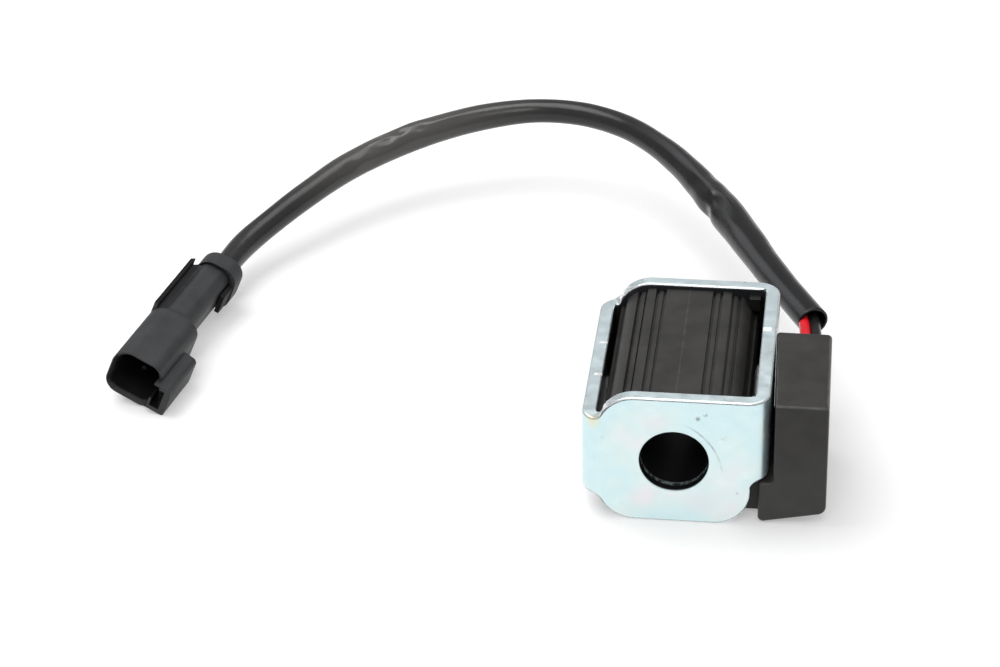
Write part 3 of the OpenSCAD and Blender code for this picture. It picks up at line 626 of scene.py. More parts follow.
# The box stands a little askew: how far its back lies to the left, at its left and its right side
BOX_SKEW = (-0.98, -0.3)
BOX_WALL, BOX_EDGE = 1.4, 0.55
POT_LOW, POT_HIGH = (20.2, BOX_Y[0] + BOX_WALL, -9.7), (27.6, BOX_Y[1] + 1, BOX_TOP - BOX_WALL)


def round_corners(corners, steps=6):
    """An outline whose corners, each given with its radius, are rounded."""
    outline = []
    for i, (x, z, radius) in enumerate(corners):
        here = Vector((x, z))
        before, after = (Vector(corners[j % len(corners)][:2]) for j in (i - 1, i + 1))
        to, on = (before - here).normalized(), (after - here).normalized()
        half = to.angle(on) / 2
        middle = here + (to + on).normalized() * radius / math.sin(half)
        first, last = (here + way * radius / math.tan(half) - middle for way in (to, on))
        start, end = (math.degrees(math.atan2(way.y, way.x)) for way in (first, last))
        outline += arc(middle, radius, start, start + (end - start + 180) % 360 - 180, steps)
    return outline


box_outline = round_corners([(FOOT_X, FOOT_TOP, 0.9), (FOOT_X, BOX_FLOOR, 1.0),
                             (BOX_LOW_X, BOX_FLOOR + FLOOR_RISE, 1.8), (BOX_X[1], BOX_TOP, 0.9),
                             (BOX_X[0], BOX_TOP, 0.6), (BOX_X[0], FOOT_TOP, 0.9)])
housing = prism("terminal_housing", box_outline, 1, *BOX_Y)
for vertex in housing.data.vertices:
    if vertex.co.y > 0:
        share = (vertex.co.x / MM - BOX_X[0]) / (BOX_X[1] - BOX_X[0])
        vertex.co.x += (BOX_SKEW[0] + (BOX_SKEW[1] - BOX_SKEW[0]) * share) * MM
soften(housing, BOX_EDGE, segments=5)
combine(housing, block("pot", POT_LOW, POT_HIGH), "DIFFERENCE")
smooth(housing)
# The rounded edges between top and front carry a painted highlight, broken by a noise, and the box is paler towards
# its bottom
BOX_PALE_AND_HIGHLIGHT = (0.085, 0.084, 0.082)
box_plastic = moulded_plastic("box_plastic", COIL_BLACK, 0.42, 0.25, 0.012)
spot = box_plastic.node_tree.nodes.new("ShaderNodeTexCoord")
level = box_plastic.node_tree.nodes.new("ShaderNodeSeparateXYZ")
lean = box_plastic.node_tree.nodes.new("ShaderNodeSeparateXYZ")
box_plastic.node_tree.links.new(spot.outputs["Object"], level.inputs["Vector"])
box_plastic.node_tree.links.new(spot.outputs["Normal"], lean.inputs["Vector"])
paler = fade(box_plastic, level.outputs["Z"], 6 * MM, -9 * MM, 0, 0.28)
painted_highlight = sums(box_plastic, "MULTIPLY", fade(box_plastic, lean.outputs["Z"], 0.2, 0.45, 0, 1),
              fade(box_plastic, lean.outputs["Z"], 0.85, 0.97, 1, 0))
painted_highlight = sums(box_plastic, "MULTIPLY", painted_highlight, fade(box_plastic, grain(box_plastic, 3), 0.35, 0.6, 0.3, 1))
lay(box_plastic, BOX_PALE_AND_HIGHLIGHT, paler)
lay(box_plastic, BOX_PALE_AND_HIGHLIGHT, painted_highlight)
settle(housing, box_plastic, "coil", "coil_plastic", "terminal_box")

RESIN_BLACK = (0.02, 0.02, 0.021)
resin = finish_of("cast_resin", RESIN_BLACK, 0.25)
spread(resin, grain(resin, 3), "Roughness", 0.18, 0.34)
tint(resin, grain(resin, 4), [(0.3, shade(RESIN_BLACK, 0.7)), (0.7, shade(RESIN_BLACK, 1.5))])
relief(resin, grain(resin, 4), 0.1)
dress("box_potting", resin)

# Lead wires: two stranded wires in red and black vinyl, from their ferrules through the
# resin to the sleeve. They leave the box side by side and run on inside the sleeve's mouth.
WIRE_RADIUS = 1.1
ROUTE = [(24.5, 19, 7.1), (19.5, 29, 6.9), (14.5, 39.5, 6.6), (10, 50, 6.3), (5, 61, 6.1), (0, 71, 5.9),
         (-5.5, 81.5, 5.6), (-12, 91.5, 5.2), (-20, 100.5, 4.7), (-30, 106.5, 4.2), (-41, 108.5, 3.5),
         (-52, 106.5, 2.6), (-62.5, 102, 1.4), (-72, 96, 0), (-81, 87.5, -1.5), (-88, 78.5, -3.2),
         (-94, 70, -4.9), (-99, 61, -6.3), (-102.8, 48.2, -6.9)]
WIRE_X, WIRE_START = {"red": 23.3, "black": 26.05}, {"red": -5.0, "black": -11.5}
WIRE_Z = 7.7
UP = Vector((0, 0, 1))


def smooth_line(points, steps):
    """A smooth line through all the points, with steps pieces between each two."""
    knots = [Vector(p) for p in points]
    knots = [2 * knots[0] - knots[1]] + knots + [2 * knots[-1] - knots[-2]]
    line = []
    for a, b, c, d in zip(knots, knots[1:], knots[2:], knots[3:]):
        for i in range(steps):
            t = i / steps
            line.append(0.5 * (2 * b + (c - a) * t + (2 * a - 5 * b + 4 * c - d) * t ** 2
                               + (3 * b - a - 3 * c + d) * t ** 3))
    return line + [knots[-2]]


def travel(line):
    """Distance along the line at each of its points."""
    way = [0.0]
    for a, b in zip(line, line[1:]):
        way.append(way[-1] + (b - a).length)
    return way


def heading(line, i):
    return (line[min(i + 1, len(line) - 1)] - line[max(i - 1, 0)]).normalized()


def sweep(name, line, radius, sides, lining=()):
    """A tube along a line. Radius takes the distance along it and the angle from the top. Lining is a
    list of points' numbers and how much smaller the tube is there, which turn back into its mouth."""
    shape = bmesh.new()
    way = travel(line)
    stations = [(i, thin) for i, thin in lining] + [(i, 0.0) for i in range(len(line))]
    loops = []
    for i, thin in stations:
        ahead = heading(line, i)
        side = ahead.cross(UP).normalized()
        top = side.cross(ahead)
        loop = []
        for k in range(sides):
            angle = 2 * math.pi * k / sides
            reach = radius(way[i], angle) - thin
            spot = line[i] + reach * (math.cos(angle) * top + math.sin(angle) * side)
            loop.append(shape.verts.new(spot * MM))
        loops.append(loop)
    for a, b in zip(loops, loops[1:]):
        for k in range(sides):
            shape.faces.new((a[k], a[k - 1], b[k - 1], b[k]))
    shape.faces.new(loops[0])
    shape.faces.new(loops[-1][::-1])
    bmesh.ops.recalc_face_normals(shape, faces=shape.faces)
    mesh = bpy.data.meshes.new(name)
    shape.to_mesh(mesh)
    shape.free()
    for face in mesh.polygons:
        face.use_smooth = len(face.vertices) == 4
    piece = bpy.data.objects.new(name, mesh)
    bpy.context.scene.collection.objects.link(piece)
    return piece


def insulation(name, colour):
    """Extruded vinyl: glossy, with faint streaks along the wire."""
    material = finish_of(name, colour, 0.3, shine=0.25)
    spread(material, grain(material, 0.8, stretch=(1, 6, 1)), "Roughness", 0.24, 0.4)
    tint(material, grain(material, 3), [(0.3, shade(colour, 0.8)), (0.7, colour)])
    relief(material, grain(material, 0.4, stretch=(1, 8, 1)), 0.01)
    return material


def wire_line(side, gap, near):
    """From the ferrule out of the box's back, then beside the sleeve's middle line into its mouth."""
    inside = smooth_line(ROUTE, 6)[1:10]
    runs = []
    for i, spot in enumerate(inside):
        across = heading(inside, i).cross(UP).normalized()
        runs.append(spot + across * gap)
    x = WIRE_X[side]
    in_box = [(x, y, WIRE_Z) for y in (WIRE_START[side], 0, BOX_Y[1] + 1)]
    return smooth_line(in_box + [(near, 12.5, WIRE_Z - 0.2)] + runs[::2], 5)


RED, BLACK = (0.8, 0.013, 0.024), (0.012, 0.012, 0.013)
red_vinyl = insulation("red_vinyl", RED)
black_vinyl = insulation("black_vinyl", BLACK)
for side, gap, near, material in (("red", -1.45, 23.2, red_vinyl), ("black", 0.7, 25.35, black_vinyl)):
    wire = sweep(side + "_wire", wire_line(side, gap, near), lambda way, angle: WIRE_RADIUS, 20)
    settle(wire, material, "coil", side + "_insulation", side + "_lead")

# Lead sleeve: a soft black vinyl tube shrunk over the two wires, from just behind the box to
# the connector. It is fuller near its open mouth, kinked once, and wrinkled where it was bent.
SLEEVE_WIDTHS = [(0, 6.0), (12, 6.0), (24, 6.4), (36, 7.0), (48, 7.5), (54, 7.2), (60, 6.5), (72, 5.9),
                 (84, 5.4), (114, 5.4), (132, 6.0), (150, 6.4), (162, 6.2), (174, 5.8), (192, 5.8), (206, 5.2)]
SLEEVE_WALL, MOUTH_DEPTH = 0.45, 32
SLEEVE_STEPS = 24
# Each wrinkle: distance along, angle from the top, length, spread in degrees, height
WRINKLES = [(50, -100, 2.2, 38, -0.8), (48.2, -35, 2.6, 22, -0.5), (52.5, -20, 1.5, 20, 0.28),
            (47, -2, 3, 12, 0.28), (39.5, -40, 3, 16, 0.22), (46.3, -68, 1.6, 14, 0.2), (60, -18, 5, 14, 0.15),
            (57, -40, 4, 16, -0.2), (150.5, 5, 2.5, 30, -0.3), (144.5, 5, 3, 30, 0.25), (148, -12, 1.2, 14, -0.3),
            (152, -30, 1.5, 14, -0.25), (143.5, -32, 1.8, 18, -0.25), (153, -8, 3, 12, 0.2), (137, -25, 5, 14, 0.2),
            (157, -40, 1.6, 25, -0.3), (164, -58, 1.6, 25, -0.25), (161, -58, 1.8, 20, 0.2),
            (158.5, -90, 2.5, 22, -0.25), (145.7, -90, 3, 20, -0.2), (188, 75, 9, 45, -0.5), (205, 80, 6, 45, -0.3),
            (205, -80, 6, 45, 0.25)]


def sleeve_radius(way, angle):
    spans = zip(SLEEVE_WIDTHS, SLEEVE_WIDTHS[1:])
    a, b = next(((a, b) for a, b in spans if way <= b[0]), SLEEVE_WIDTHS[-2:])
    t = min(1.0, (way - a[0]) / (b[0] - a[0]))
    width = a[1] + (b[1] - a[1]) * t * t * (3 - 2 * t)
    radius = width / 2 * (1 - 0.03 * math.cos(2 * angle))
    turn = math.degrees(angle)
    for along, middle, length, spread_deg, height in WRINKLES:
        off = (turn - middle + 180) % 360 - 180
        radius += height * math.exp(-((way - along) / length) ** 2 - (off / spread_deg) ** 2)
    return radius


sleeve_line = smooth_line(ROUTE, SLEEVE_STEPS)
sleeve_lining = [(i, SLEEVE_WALL) for i in range(MOUTH_DEPTH, -1, -1)]
sleeve = sweep("sleeve", sleeve_line, sleeve_radius, 64, sleeve_lining)
SLEEVE_BLACK, SLEEVE_PALE_SHEEN = (0.008, 0.0083, 0.009), (0.024, 0.0238, 0.0234)
SLEEVE_DUST_AND_SHEEN = (0.085, 0.082, 0.078)
sleeve_vinyl = finish_of("sleeve_vinyl", SLEEVE_BLACK, 0.24, shine=0.34)
spread(sleeve_vinyl, grain(sleeve_vinyl, 6), "Roughness", 0.19, 0.29)
tint(sleeve_vinyl, grain(sleeve_vinyl, 8), [(0.3, shade(SLEEVE_BLACK, 0.8)), (0.7, shade(SLEEVE_BLACK, 1.3))])
# The connector's half is painted paler, partly handling and partly a painted sheen, and dust with painted sheen
# lies at its last bend
here = sleeve_vinyl.node_tree.nodes.new("ShaderNodeTexCoord")
parts = sleeve_vinyl.node_tree.nodes.new("ShaderNodeSeparateXYZ")
sleeve_vinyl.node_tree.links.new(here.outputs["Object"], parts.inputs["Vector"])
lay(sleeve_vinyl, SLEEVE_PALE_SHEEN, fade(sleeve_vinyl, parts.outputs["X"], -8 * MM, -32 * MM, 0, 1))
dust_and_sheen = fade(sleeve_vinyl, distance(sleeve_vinyl, (-70, 97, 3)), 10 * MM, 34 * MM, 0.8, 0)
lay(sleeve_vinyl, SLEEVE_DUST_AND_SHEEN, dust_and_sheen)
# Towards the box a painted highlight runs near its crest, and past the kink along its inner side.
# Each painted highlight: the way it faces, where along X it starts and is full, and where it ends
SLEEVE_HIGHLIGHT = (0.075, 0.076, 0.08)
SLEEVE_HIGHLIGHTS = [((-0.25, -0.17, 0.95), -18, -6, 2, 7), ((-0.6, -0.25, 0.76), 2, 7, 40, 41)]
for way, start, full, end, gone in SLEEVE_HIGHLIGHTS:
    lie = sleeve_vinyl.node_tree.nodes.new("ShaderNodeNewGeometry")
    facing = sleeve_vinyl.node_tree.nodes.new("ShaderNodeVectorMath")
    facing.operation = "DOT_PRODUCT"
    facing.inputs[1].default_value = way
    sleeve_vinyl.node_tree.links.new(lie.outputs["Normal"], facing.inputs[0])
    comes = fade(sleeve_vinyl, parts.outputs["X"], start * MM, full * MM, 0, 1)
    goes = fade(sleeve_vinyl, parts.outputs["X"], end * MM, gone * MM, 1, 0)
    painted_highlight = fade(sleeve_vinyl, facing.outputs["Value"], 0.94, 0.995, 0, 0.7)
    here_only = sums(sleeve_vinyl, "MULTIPLY", comes, goes)
    lay(sleeve_vinyl, SLEEVE_HIGHLIGHT, sums(sleeve_vinyl, "MULTIPLY", painted_highlight, here_only))
relief(sleeve_vinyl, grain(sleeve_vinyl, 3), 0.06)
relief(sleeve_vinyl, grain(sleeve_vinyl, 0.3), 0.006)
settle(sleeve, sleeve_vinyl, "coil", "sleeve_vinyl", "lead_sleeve")

# Connector shell: the two-way receptacle, moulded in charcoal nylon with a fine matt skin.
# A wide front shell with an open mouth, a narrower body behind it, a catch for the mating
# plug's latch on one side and a clip rail on the other.
PLUG_AT, PLUG_YAW, PLUG_ROLL = (-102.8, 48.2, -6.9), 12.2, 23
PLUG_LENGTH, SHELL_LENGTH, SHELL_WALL = 41.8, 19.6, 0.9
SHELL_Y, SHELL_Z, SHELL_RADIUS, SHELL_TOP_RADIUS = (-5.4, 5.7), (-5.75, 5.25), 3.0, 3.8
STEP_X = PLUG_LENGTH - SHELL_LENGTH
STEP_BLEND = (-0.5, 2.0)
# How the mouth widens at its rim: distance from the rim and growth all round
RIM_FLARE = [(-0.9, 0), (-0.6, 0.1), (-0.3, 0.3), (0, 0.65), (0.5, 0.65)]
BODY_W, BODY_H, BODY_RADIUS, MOUTH = 7.2, 8.8, 2.8, 16.5
RAIL_LENGTH, RAIL_T, RAIL_Z = 16.8, 0.8, (-1.6, 5.0)
CATCH_X, CATCH_Y, CATCH_Z, CATCH_TOP_RADIUS, CATCH_EDGE = (30.1, 43.4), 8.8, (-4.0, 2.6), 1.2, 0.6
LATCH_LOW, LATCH_HIGH = (32.6, 5.3, -3.05), (50, 7.4, 1.7)
NOTCH_LOW, NOTCH_HIGH = (36.0, 0, -1.2), (50, 6.1, 2.3)
RAIL_FLOOR, RAIL_FOOT = 3.2, 3.5
PIN_Z, PIN_HOLE, BARREL_HOLE, SEAL_LENGTH, SEAL_W, SEAL_H, SEAL_RADIUS = 1.8, 0.85, 1.5, 8, 5.62, 7.22, 2.0
plug_place = (Matrix.Translation(Vector(PLUG_AT) * MM) @ Matrix.Rotation(math.radians(-90 - PLUG_YAW), 4, "Z")
              @ Matrix.Rotation(math.radians(-PLUG_ROLL), 4, "X"))


def rounded_outline(y, z, radius, top_radius=None):
    """A rectangle with rounded corners in Y and Z. The upper corner at -Y can have a radius of its own."""
    corners = [(y[0], z[1], 1, -1, 90, top_radius or radius), (y[0], z[0], 1, 1, 180, radius),
               (y[1], z[0], -1, 1, 270, radius), (y[1], z[1], -1, -1, 0, radius)]
    points = []
    for side, level, right, up, start, r in corners:
        points += arc((side + right * r, level + up * r), r, start, start + 90, 10)
    return points


def middle_bar(name, start, end, wide, high, radius):
    """A bar along X around the connector's axis, with its long edges rounded."""
    return prism(name, rounded_outline((-wide / 2, wide / 2), (-high / 2, high / 2), radius), 0, start, end)


def mouth_outline(growth=0.0):
    wall = SHELL_WALL - growth
    y, z = ((low + wall, high - wall) for low, high in (SHELL_Y, SHELL_Z))
    return rounded_outline(y, z, SHELL_RADIUS - wall, SHELL_TOP_RADIUS - wall)


def loft(name, rings):
    """A skin through a row of outlines in Y and Z, each at its own X, pushed out from one to the next."""
    bpy.ops.object.select_all(action="DESELECT")
    bpy.ops.mesh.primitive_circle_add(vertices=len(rings[0][1]), fill_type="NGON")
    piece = bpy.context.object
    piece.name = name
    last = [Vector((rings[0][0], *spot)) * MM for spot in rings[0][1]]
    for vertex, spot in zip(piece.data.vertices, last):
        vertex.co = spot
    bpy.ops.object.mode_set(mode="EDIT")
    bpy.ops.mesh.select_all(action="SELECT")
    for x, outline in rings[1:]:
        bpy.ops.mesh.extrude_region_move(TRANSFORM_OT_translate={"value": (0, 0, 0)})
        shape = bmesh.from_edit_mesh(piece.data)
        spots = [Vector((x, *spot)) * MM for spot in outline]
        for vertex in [v for v in shape.verts if v.select]:
            nearest = min(range(len(last)), key=lambda i: (last[i] - vertex.co).length)
            vertex.co = spots[nearest]
        bmesh.update_edit_mesh(piece.data)
        last = spots
    bpy.ops.mesh.select_all(action="SELECT")
    bpy.ops.mesh.normals_make_consistent(inside=False)
    bpy.ops.object.mode_set(mode="OBJECT")
    return piece


def rod_x(name, radius, start, end, z):
    rod = rod_y(name, radius, start, end)
    rod.data.transform(Matrix.Rotation(-math.pi / 2, 4, "Z"))
    rod.data.transform(Matrix.Translation((0, 0, z * MM)))
    return rod


def seat_in_plug(piece):
    """Puts a piece that was made along X into the connector's place on the floor."""
    piece.data.transform(plug_place)


def round_edges(piece, radius, segments, pick):
    """Rounds the edges whose two ends, in millimetres, pass the test."""
    bpy.ops.object.select_all(action="DESELECT")
    piece.select_set(True)
    bpy.context.view_layer.objects.active = piece
    bpy.ops.object.mode_set(mode="EDIT")
    bpy.ops.mesh.select_mode(type="EDGE")
    bpy.ops.mesh.select_all(action="DESELECT")
    shape = bmesh.from_edit_mesh(piece.data)
    for edge in shape.edges:
        edge.select_set(pick(*(vertex.co / MM for vertex in edge.verts)))
    bmesh.update_edit_mesh(piece.data)
    bpy.ops.mesh.bevel(offset=radius * MM, segments=segments, affect="EDGES")
    bpy.ops.object.mode_set(mode="OBJECT")


def shell_rings():
    """The narrow body, a soft swell and the wide shell, as outlines from the rear to the rim."""
    narrow = rounded_outline((-BODY_W / 2, BODY_W / 2), (-BODY_H / 2, BODY_H / 2), BODY_RADIUS)
    wide = rounded_outline(SHELL_Y, SHELL_Z, SHELL_RADIUS, SHELL_TOP_RADIUS)
    rings = [(0, narrow)]
    for i in range(11):
        share = (1 - math.cos(math.pi * i / 10)) / 2
        blend = [tuple(a + (b - a) * share for a, b in zip(*pair)) for pair in zip(narrow, wide)]
        rings.append((STEP_X + STEP_BLEND[0] + (STEP_BLEND[1] - STEP_BLEND[0]) * i / 10, blend))
    return rings + [(PLUG_LENGTH, wide)]


shell = loft("receptacle", shell_rings())
rail_end = STEP_X - RAIL_LENGTH
rail_plan = [(STEP_X + 1.4, SHELL_Y[0]), (STEP_X + 1.4, 0), (RAIL_FOOT, 0), (RAIL_FOOT, -BODY_W / 2),
             (rail_end, SHELL_Y[0])]
rail = prism("rail", rail_plan, 2, *RAIL_Z)
combine(rail, block("slot", (0, SHELL_Y[0] + RAIL_T, RAIL_FLOOR), (STEP_X + 3, 5, 10)), "DIFFERENCE")
combine(shell, rail, "UNION")
combine(shell, prism("mouth", mouth_outline(), 0, PLUG_LENGTH - MOUTH, PLUG_LENGTH + 1), "DIFFERENCE")
combine(shell, loft("flare", [(PLUG_LENGTH + x, mouth_outline(growth)) for x, growth in RIM_FLARE]), "DIFFERENCE")
catch = block("catch", (CATCH_X[0], 2, CATCH_Z[0]), (CATCH_X[1], CATCH_Y, CATCH_Z[1]))
round_edges(catch, CATCH_TOP_RADIUS, 6, lambda a, b: abs(a.x - b.x) > 1 and min(a.y, b.y) > 5 and min(a.z, b.z) > 0)
round_edges(catch, CATCH_EDGE, 4, lambda a, b: abs(a.x - b.x) > 1 and min(a.y, b.y) > 5 and max(a.z, b.z) < 0)
round_edges(catch, CATCH_EDGE, 4, lambda a, b: max(a.x, b.x) < CATCH_X[0] + 0.01 and min(a.y, b.y) > 5)
combine(catch, prism("mouth", mouth_outline(), 0, STEP_X, CATCH_X[1] + 1), "DIFFERENCE")
combine(shell, catch, "UNION")
combine(shell, block("latch_way", LATCH_LOW, LATCH_HIGH), "DIFFERENCE")
combine(shell, block("notch", NOTCH_LOW, NOTCH_HIGH), "DIFFERENCE")
for z in (-PIN_Z, PIN_Z):
    combine(shell, rod_x("pin_way", PIN_HOLE, PLUG_LENGTH - MOUTH - 5, PLUG_LENGTH - MOUTH + 1, z), "DIFFERENCE")
    combine(shell, rod_x("barrel_way", BARREL_HOLE, SEAL_LENGTH - 1, PLUG_LENGTH - MOUTH - 3, z), "DIFFERENCE")
combine(shell, middle_bar("seal_pocket", -1, SEAL_LENGTH, SEAL_W, SEAL_H, SEAL_RADIUS), "DIFFERENCE")
soften(shell, 0.2, segments=3)
painted_shade_faces = []
for face in shell.data.polygons:
    x, y, z = face.center / MM
    looks_in = face.normal.y * (y - sum(SHELL_Y) / 2) + face.normal.z * (z - sum(SHELL_Z) / 2) < 0.01
    rim = PLUG_LENGTH - (0.05 if face.normal.y > 0.6 else 1)
    on_mouth_wall = looks_in and PLUG_LENGTH - MOUTH - 0.1 < x < rim and y < 5.1
    in_latch = all(low - 0.1 < at < high + 0.05 for low, at, high in zip(LATCH_LOW, (x, y, z), LATCH_HIGH))
    in_latch = in_latch and x < CATCH_X[1] - 0.1
    in_rail = x < STEP_X and y < SHELL_Y[0] + RAIL_T + 0.05 and z > 0 and face.normal.y > -0.3
    painted_shade_faces.append(on_mouth_wall or in_latch or in_rail)
seat_in_plug(shell)
CHARCOAL = (0.036, 0.037, 0.039)
connector_nylon = moulded_plastic("connector_nylon", CHARCOAL, 0.55, 0.18, 0.014)
settle(shell, connector_nylon, "coil", "connector_plastic", "connector_shell")
# The mouth's walls, the latch way and the rail's inside are painted near-black: painted shade where they lie deep
# in shade
SHADE_BLACK = (0.013, 0.013, 0.013)
shade_nylon = moulded_plastic("shade_nylon", SHADE_BLACK, 0.6, 0.2, 0.01)
shade_nylon.node_tree.nodes["Principled BSDF"].inputs["Specular IOR Level"].default_value = 0.1
shell.data.materials.append(shade_nylon)
for face, inside in zip(shell.data.polygons, painted_shade_faces):
    face.material_index = int(inside)

# Seal retainer: the cap that snaps over the rear of the shell and keeps the wire seal in.
# Moulded in the same nylon, with one short leg that hooks on the body's side.
CAP_LENGTH, CAP_WALL, CAP_Y, CAP_Z, CAP_RADIUS, CAP_TOP_RADIUS = 4.6, 1.2, (-4.1, 5.2), (-5.3, 5.3), 3.4, 3.8
LEG_LENGTH, LEG_Y, LEG_Z = 4.9, (3.9, 4.9), (-2.4, 2.2)
CAP_FRONT = CAP_LENGTH - CAP_WALL
CAP_GAP, CAP_RELIEF = 0.1, ((-3.7, 4.2), (-4.9, 4.9))
cap = prism("cap", rounded_outline(CAP_Y, CAP_Z, CAP_RADIUS, CAP_TOP_RADIUS), 0, -CAP_WALL, CAP_FRONT)
round_edges(cap, 0.6, 4, lambda a, b: max(a.x, b.x) < -CAP_WALL + 0.01)
leg = block("leg", (CAP_FRONT - 2, LEG_Y[0], LEG_Z[0]), (CAP_FRONT + LEG_LENGTH, LEG_Y[1], LEG_Z[1]))
round_edges(leg, 0.4, 3, lambda a, b: min(a.x, b.x) > CAP_FRONT + 1 and abs(a.y - b.y) > 0.5)
combine(cap, leg, "UNION")
hook_end, hook_half = CAP_FRONT + LEG_LENGTH - 1.1, 1.0
hook_middle = sum(LEG_Z) / 2
combine(cap, block("hook", (hook_end - 1.1, BODY_W / 2 + CAP_GAP, hook_middle - hook_half),
                   (hook_end, LEG_Y[0] + 0.3, hook_middle + hook_half)), "UNION")
body_size = BODY_W + 2 * CAP_GAP, BODY_H + 2 * CAP_GAP, BODY_RADIUS
combine(cap, middle_bar("body_space", 0, CAP_LENGTH, *body_size), "DIFFERENCE")
relief_outline = rounded_outline(*CAP_RELIEF, BODY_RADIUS)
combine(cap, prism("relief", relief_outline, 0, CAP_FRONT - 0.5, CAP_FRONT + 0.5), "DIFFERENCE")
combine(cap, rod_x("lead_hole", 3.0, -CAP_WALL - 1, 1, 0), "DIFFERENCE")
soften(cap, 0.2, segments=3)
# The leg is painted near-black: painted shade beside the body
leg_shade_faces = [face.center.x / MM > CAP_FRONT + 0.05 for face in cap.data.polygons]
seat_in_plug(cap)
settle(cap, connector_nylon, "coil", "connector_plastic", "seal_retainer")
cap.data.materials.append(shade_nylon)
for face, on_leg in zip(cap.data.polygons, leg_shade_faces):
    face.material_index = int(on_leg)

# Wire seal: a lipped plug of orange silicone in the rear of the shell, with a hole for each wire.
# Soft and slightly dusty.
SILICONE = (0.5, 0.13, 0.03)
silicone = finish_of("seal_silicone", SILICONE, 0.5)
tint(silicone, grain(silicone, 3), [(0.3, shade(SILICONE, 0.85)), (0.7, shade(SILICONE, 1.15))])
spread(silicone, grain(silicone, 2), "Roughness", 0.42, 0.62)
relief(silicone, grain(silicone, 0.3), 0.01)
dress("wire_seal", silicone)

# Wire ends and contacts: the two wires run on through the seal, and each is crimped into a
# turned, tin-plated pin that stands in the mouth.
dress("red_tail", red_vinyl)
dress("black_tail", black_vinyl)
# The pins are painted near-black: painted shade deep in the mouth
PIN_SHADE = (0.025, 0.024, 0.022)
pin_metal = finish_of("pin_shade_metal", PIN_SHADE, 0.5, metallic=1.0)
tint(pin_metal, grain(pin_metal, 1.2), [(0.3, shade(PIN_SHADE, 0.7)), (0.7, shade(PIN_SHADE, 1.2))])
spread(pin_metal, grain(pin_metal, 0.6), "Roughness", 0.4, 0.6)
relief(pin_metal, grain(pin_metal, 0.2), 0.006)
dress("contact_pin_red", pin_metal)
dress("contact_pin_black", pin_metal)

# Wedge lock: a small plastic plate that slides into the mouth over both pins and locks them.
# Moulded, with a pull bar between the pins.
WEDGE_GREY = (0.06, 0.064, 0.064)
dress("wedge_lock", moulded_plastic("wedge_nylon", WEDGE_GREY, 0.5, 0.2, 0.01))

# Floor and backdrop: one wide white sheet that the object stands on, evenly lit.
FLOOR_SIZE = 4.0
# The paper glows a little to the eye, and more in the plate, which mirrors it
FLOOR_WHITE, FLOOR_LIFT = 0.7, (0.34, 0.82)
MIRRORED_WHITE = 0.28
bpy.ops.object.select_all(action="DESELECT")
bpy.ops.mesh.primitive_plane_add(size=FLOOR_SIZE, location=(0, 0, cad_box[0][2]))
floor = bpy.context.object
floor.name = "floor"
paper = finish_of("white_paper", (FLOOR_WHITE, FLOOR_WHITE, FLOOR_WHITE), 0.9)
paper_nodes, paper_links = paper.node_tree.nodes, paper.node_tree.links
paper_shader = paper_nodes["Principled BSDF"]
paper_shader.inputs["Specular IOR Level"].default_value = 0.0
paper_shader.inputs["Emission Color"].default_value = (1, 1, 1, 1)
seen = paper_nodes.new("ShaderNodeLightPath")
lift = paper_nodes.new("ShaderNodeMix")
lift.inputs[2].default_value, lift.inputs[3].default_value = FLOOR_LIFT[0], FLOOR_LIFT[1]
paper_links.new(seen.outputs["Is Glossy Ray"], lift.inputs[0])
paint = paper_nodes.new("ShaderNodeMix")
paint.data_type = "RGBA"
paint.inputs[6].default_value = (FLOOR_WHITE, FLOOR_WHITE, FLOOR_WHITE, 1)
paint.inputs[7].default_value = (MIRRORED_WHITE, MIRRORED_WHITE, MIRRORED_WHITE, 1)
paper_links.new(seen.outputs["Is Glossy Ray"], paint.inputs[0])
paper_links.new(paint.outputs[2], paper_shader.inputs["Base Color"])
either = paper_nodes.new("ShaderNodeMath")
either.operation = "MAXIMUM"
paper_links.new(seen.outputs["Is Camera Ray"], either.inputs[0])
paper_links.new(seen.outputs["Is Glossy Ray"], either.inputs[1])
glow = paper_nodes.new("ShaderNodeMath")
glow.operation = "MULTIPLY"
paper_links.new(either.outputs["Value"], glow.inputs[0])
paper_links.new(lift.outputs[0], glow.inputs[1])
paper_links.new(glow.outputs["Value"], paper_shader.inputs["Emission Strength"])
floor.data.materials.append(paper)

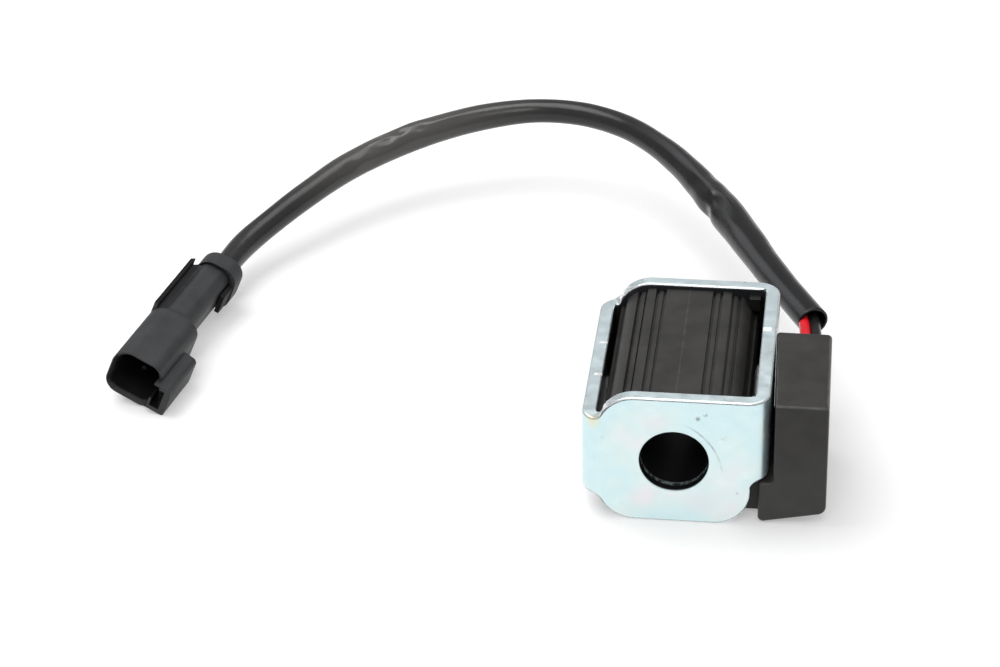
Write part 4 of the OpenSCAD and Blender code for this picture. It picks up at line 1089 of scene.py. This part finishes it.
SKY_LEVEL, SKY_MIRRORED = 0.62, 0.4
world = bpy.data.worlds.new("studio")
bpy.context.scene.world = world
world.use_nodes = True
sky_nodes, sky_links = world.node_tree.nodes, world.node_tree.links
sky = sky_nodes["Background"]
sky.inputs["Color"].default_value = (1, 1, 1, 1)
sight = sky_nodes.new("ShaderNodeLightPath")
clear = sky_nodes.new("ShaderNodeMath")
clear.operation = "MAXIMUM"
level = sky_nodes.new("ShaderNodeMapRange")
dimmed = sky_nodes.new("ShaderNodeMapRange")
dimmed.inputs["To Min"].default_value = SKY_LEVEL
dimmed.inputs["To Max"].default_value = SKY_MIRRORED
sky_links.new(sight.outputs["Is Glossy Ray"], dimmed.inputs["Value"])
sky_links.new(dimmed.outputs["Result"], level.inputs["To Min"])
level.inputs["To Max"].default_value = 1.0
sky_links.new(sight.outputs["Is Camera Ray"], clear.inputs[0])
sky_links.new(sight.outputs["Is Transmission Ray"], clear.inputs[1])
sky_links.new(clear.outputs["Value"], level.inputs["Value"])
sky_links.new(level.outputs["Result"], sky.inputs["Strength"])


def lamp(name, place, target, size, power):
    light = bpy.data.lights.new(name, "AREA")
    light.shape = "DISK"
    light.size = size
    light.energy = power
    holder = bpy.data.objects.new(name, light)
    holder.location = place
    holder.rotation_euler = (Vector(target) - Vector(place)).to_track_quat("-Z", "Y").to_euler()
    bpy.context.scene.collection.objects.link(holder)
    return holder


lamp("key", (-0.35, 0.2, 0.85), (-0.03, 0.03, 0), 0.7, 5.0)
lamp("fill", (0.0, -0.6, 0.9), (0, 0, 0), 0.5, 2.0)
# A second lamp overhead and behind gives only the gleam along the sleeve
gleam = lamp("gleam", (0.12, 0.38, 0.9), (0, 0.08, 0), 0.6, 2.4)
gleam.visible_diffuse = False

# Camera: where the photograph was taken from, a long lens above and in front of the coil.
LENS, SENSOR = 112.627, 36
EYE = (33.528, -509.524, 336.644)
RIGHT, ABOVE, AHEAD = (0.99224, 0.12298, -0.01837), (-0.05016, 0.53101, 0.84588), (-0.11378, 0.8384, -0.53305)
eye = bpy.data.cameras.new("camera")
eye.lens = LENS
eye.sensor_width = SENSOR
eye.sensor_fit = "HORIZONTAL"
eye.clip_start = 0.01
camera = bpy.data.objects.new("camera", eye)
turn = Matrix((RIGHT, ABOVE, [-part for part in AHEAD])).transposed().to_4x4()
camera.matrix_world = Matrix.Translation(Vector(EYE) * MM) @ turn
bpy.context.scene.collection.objects.link(camera)
bpy.context.scene.camera = camera
bpy.context.scene.view_settings.view_transform = "Standard"
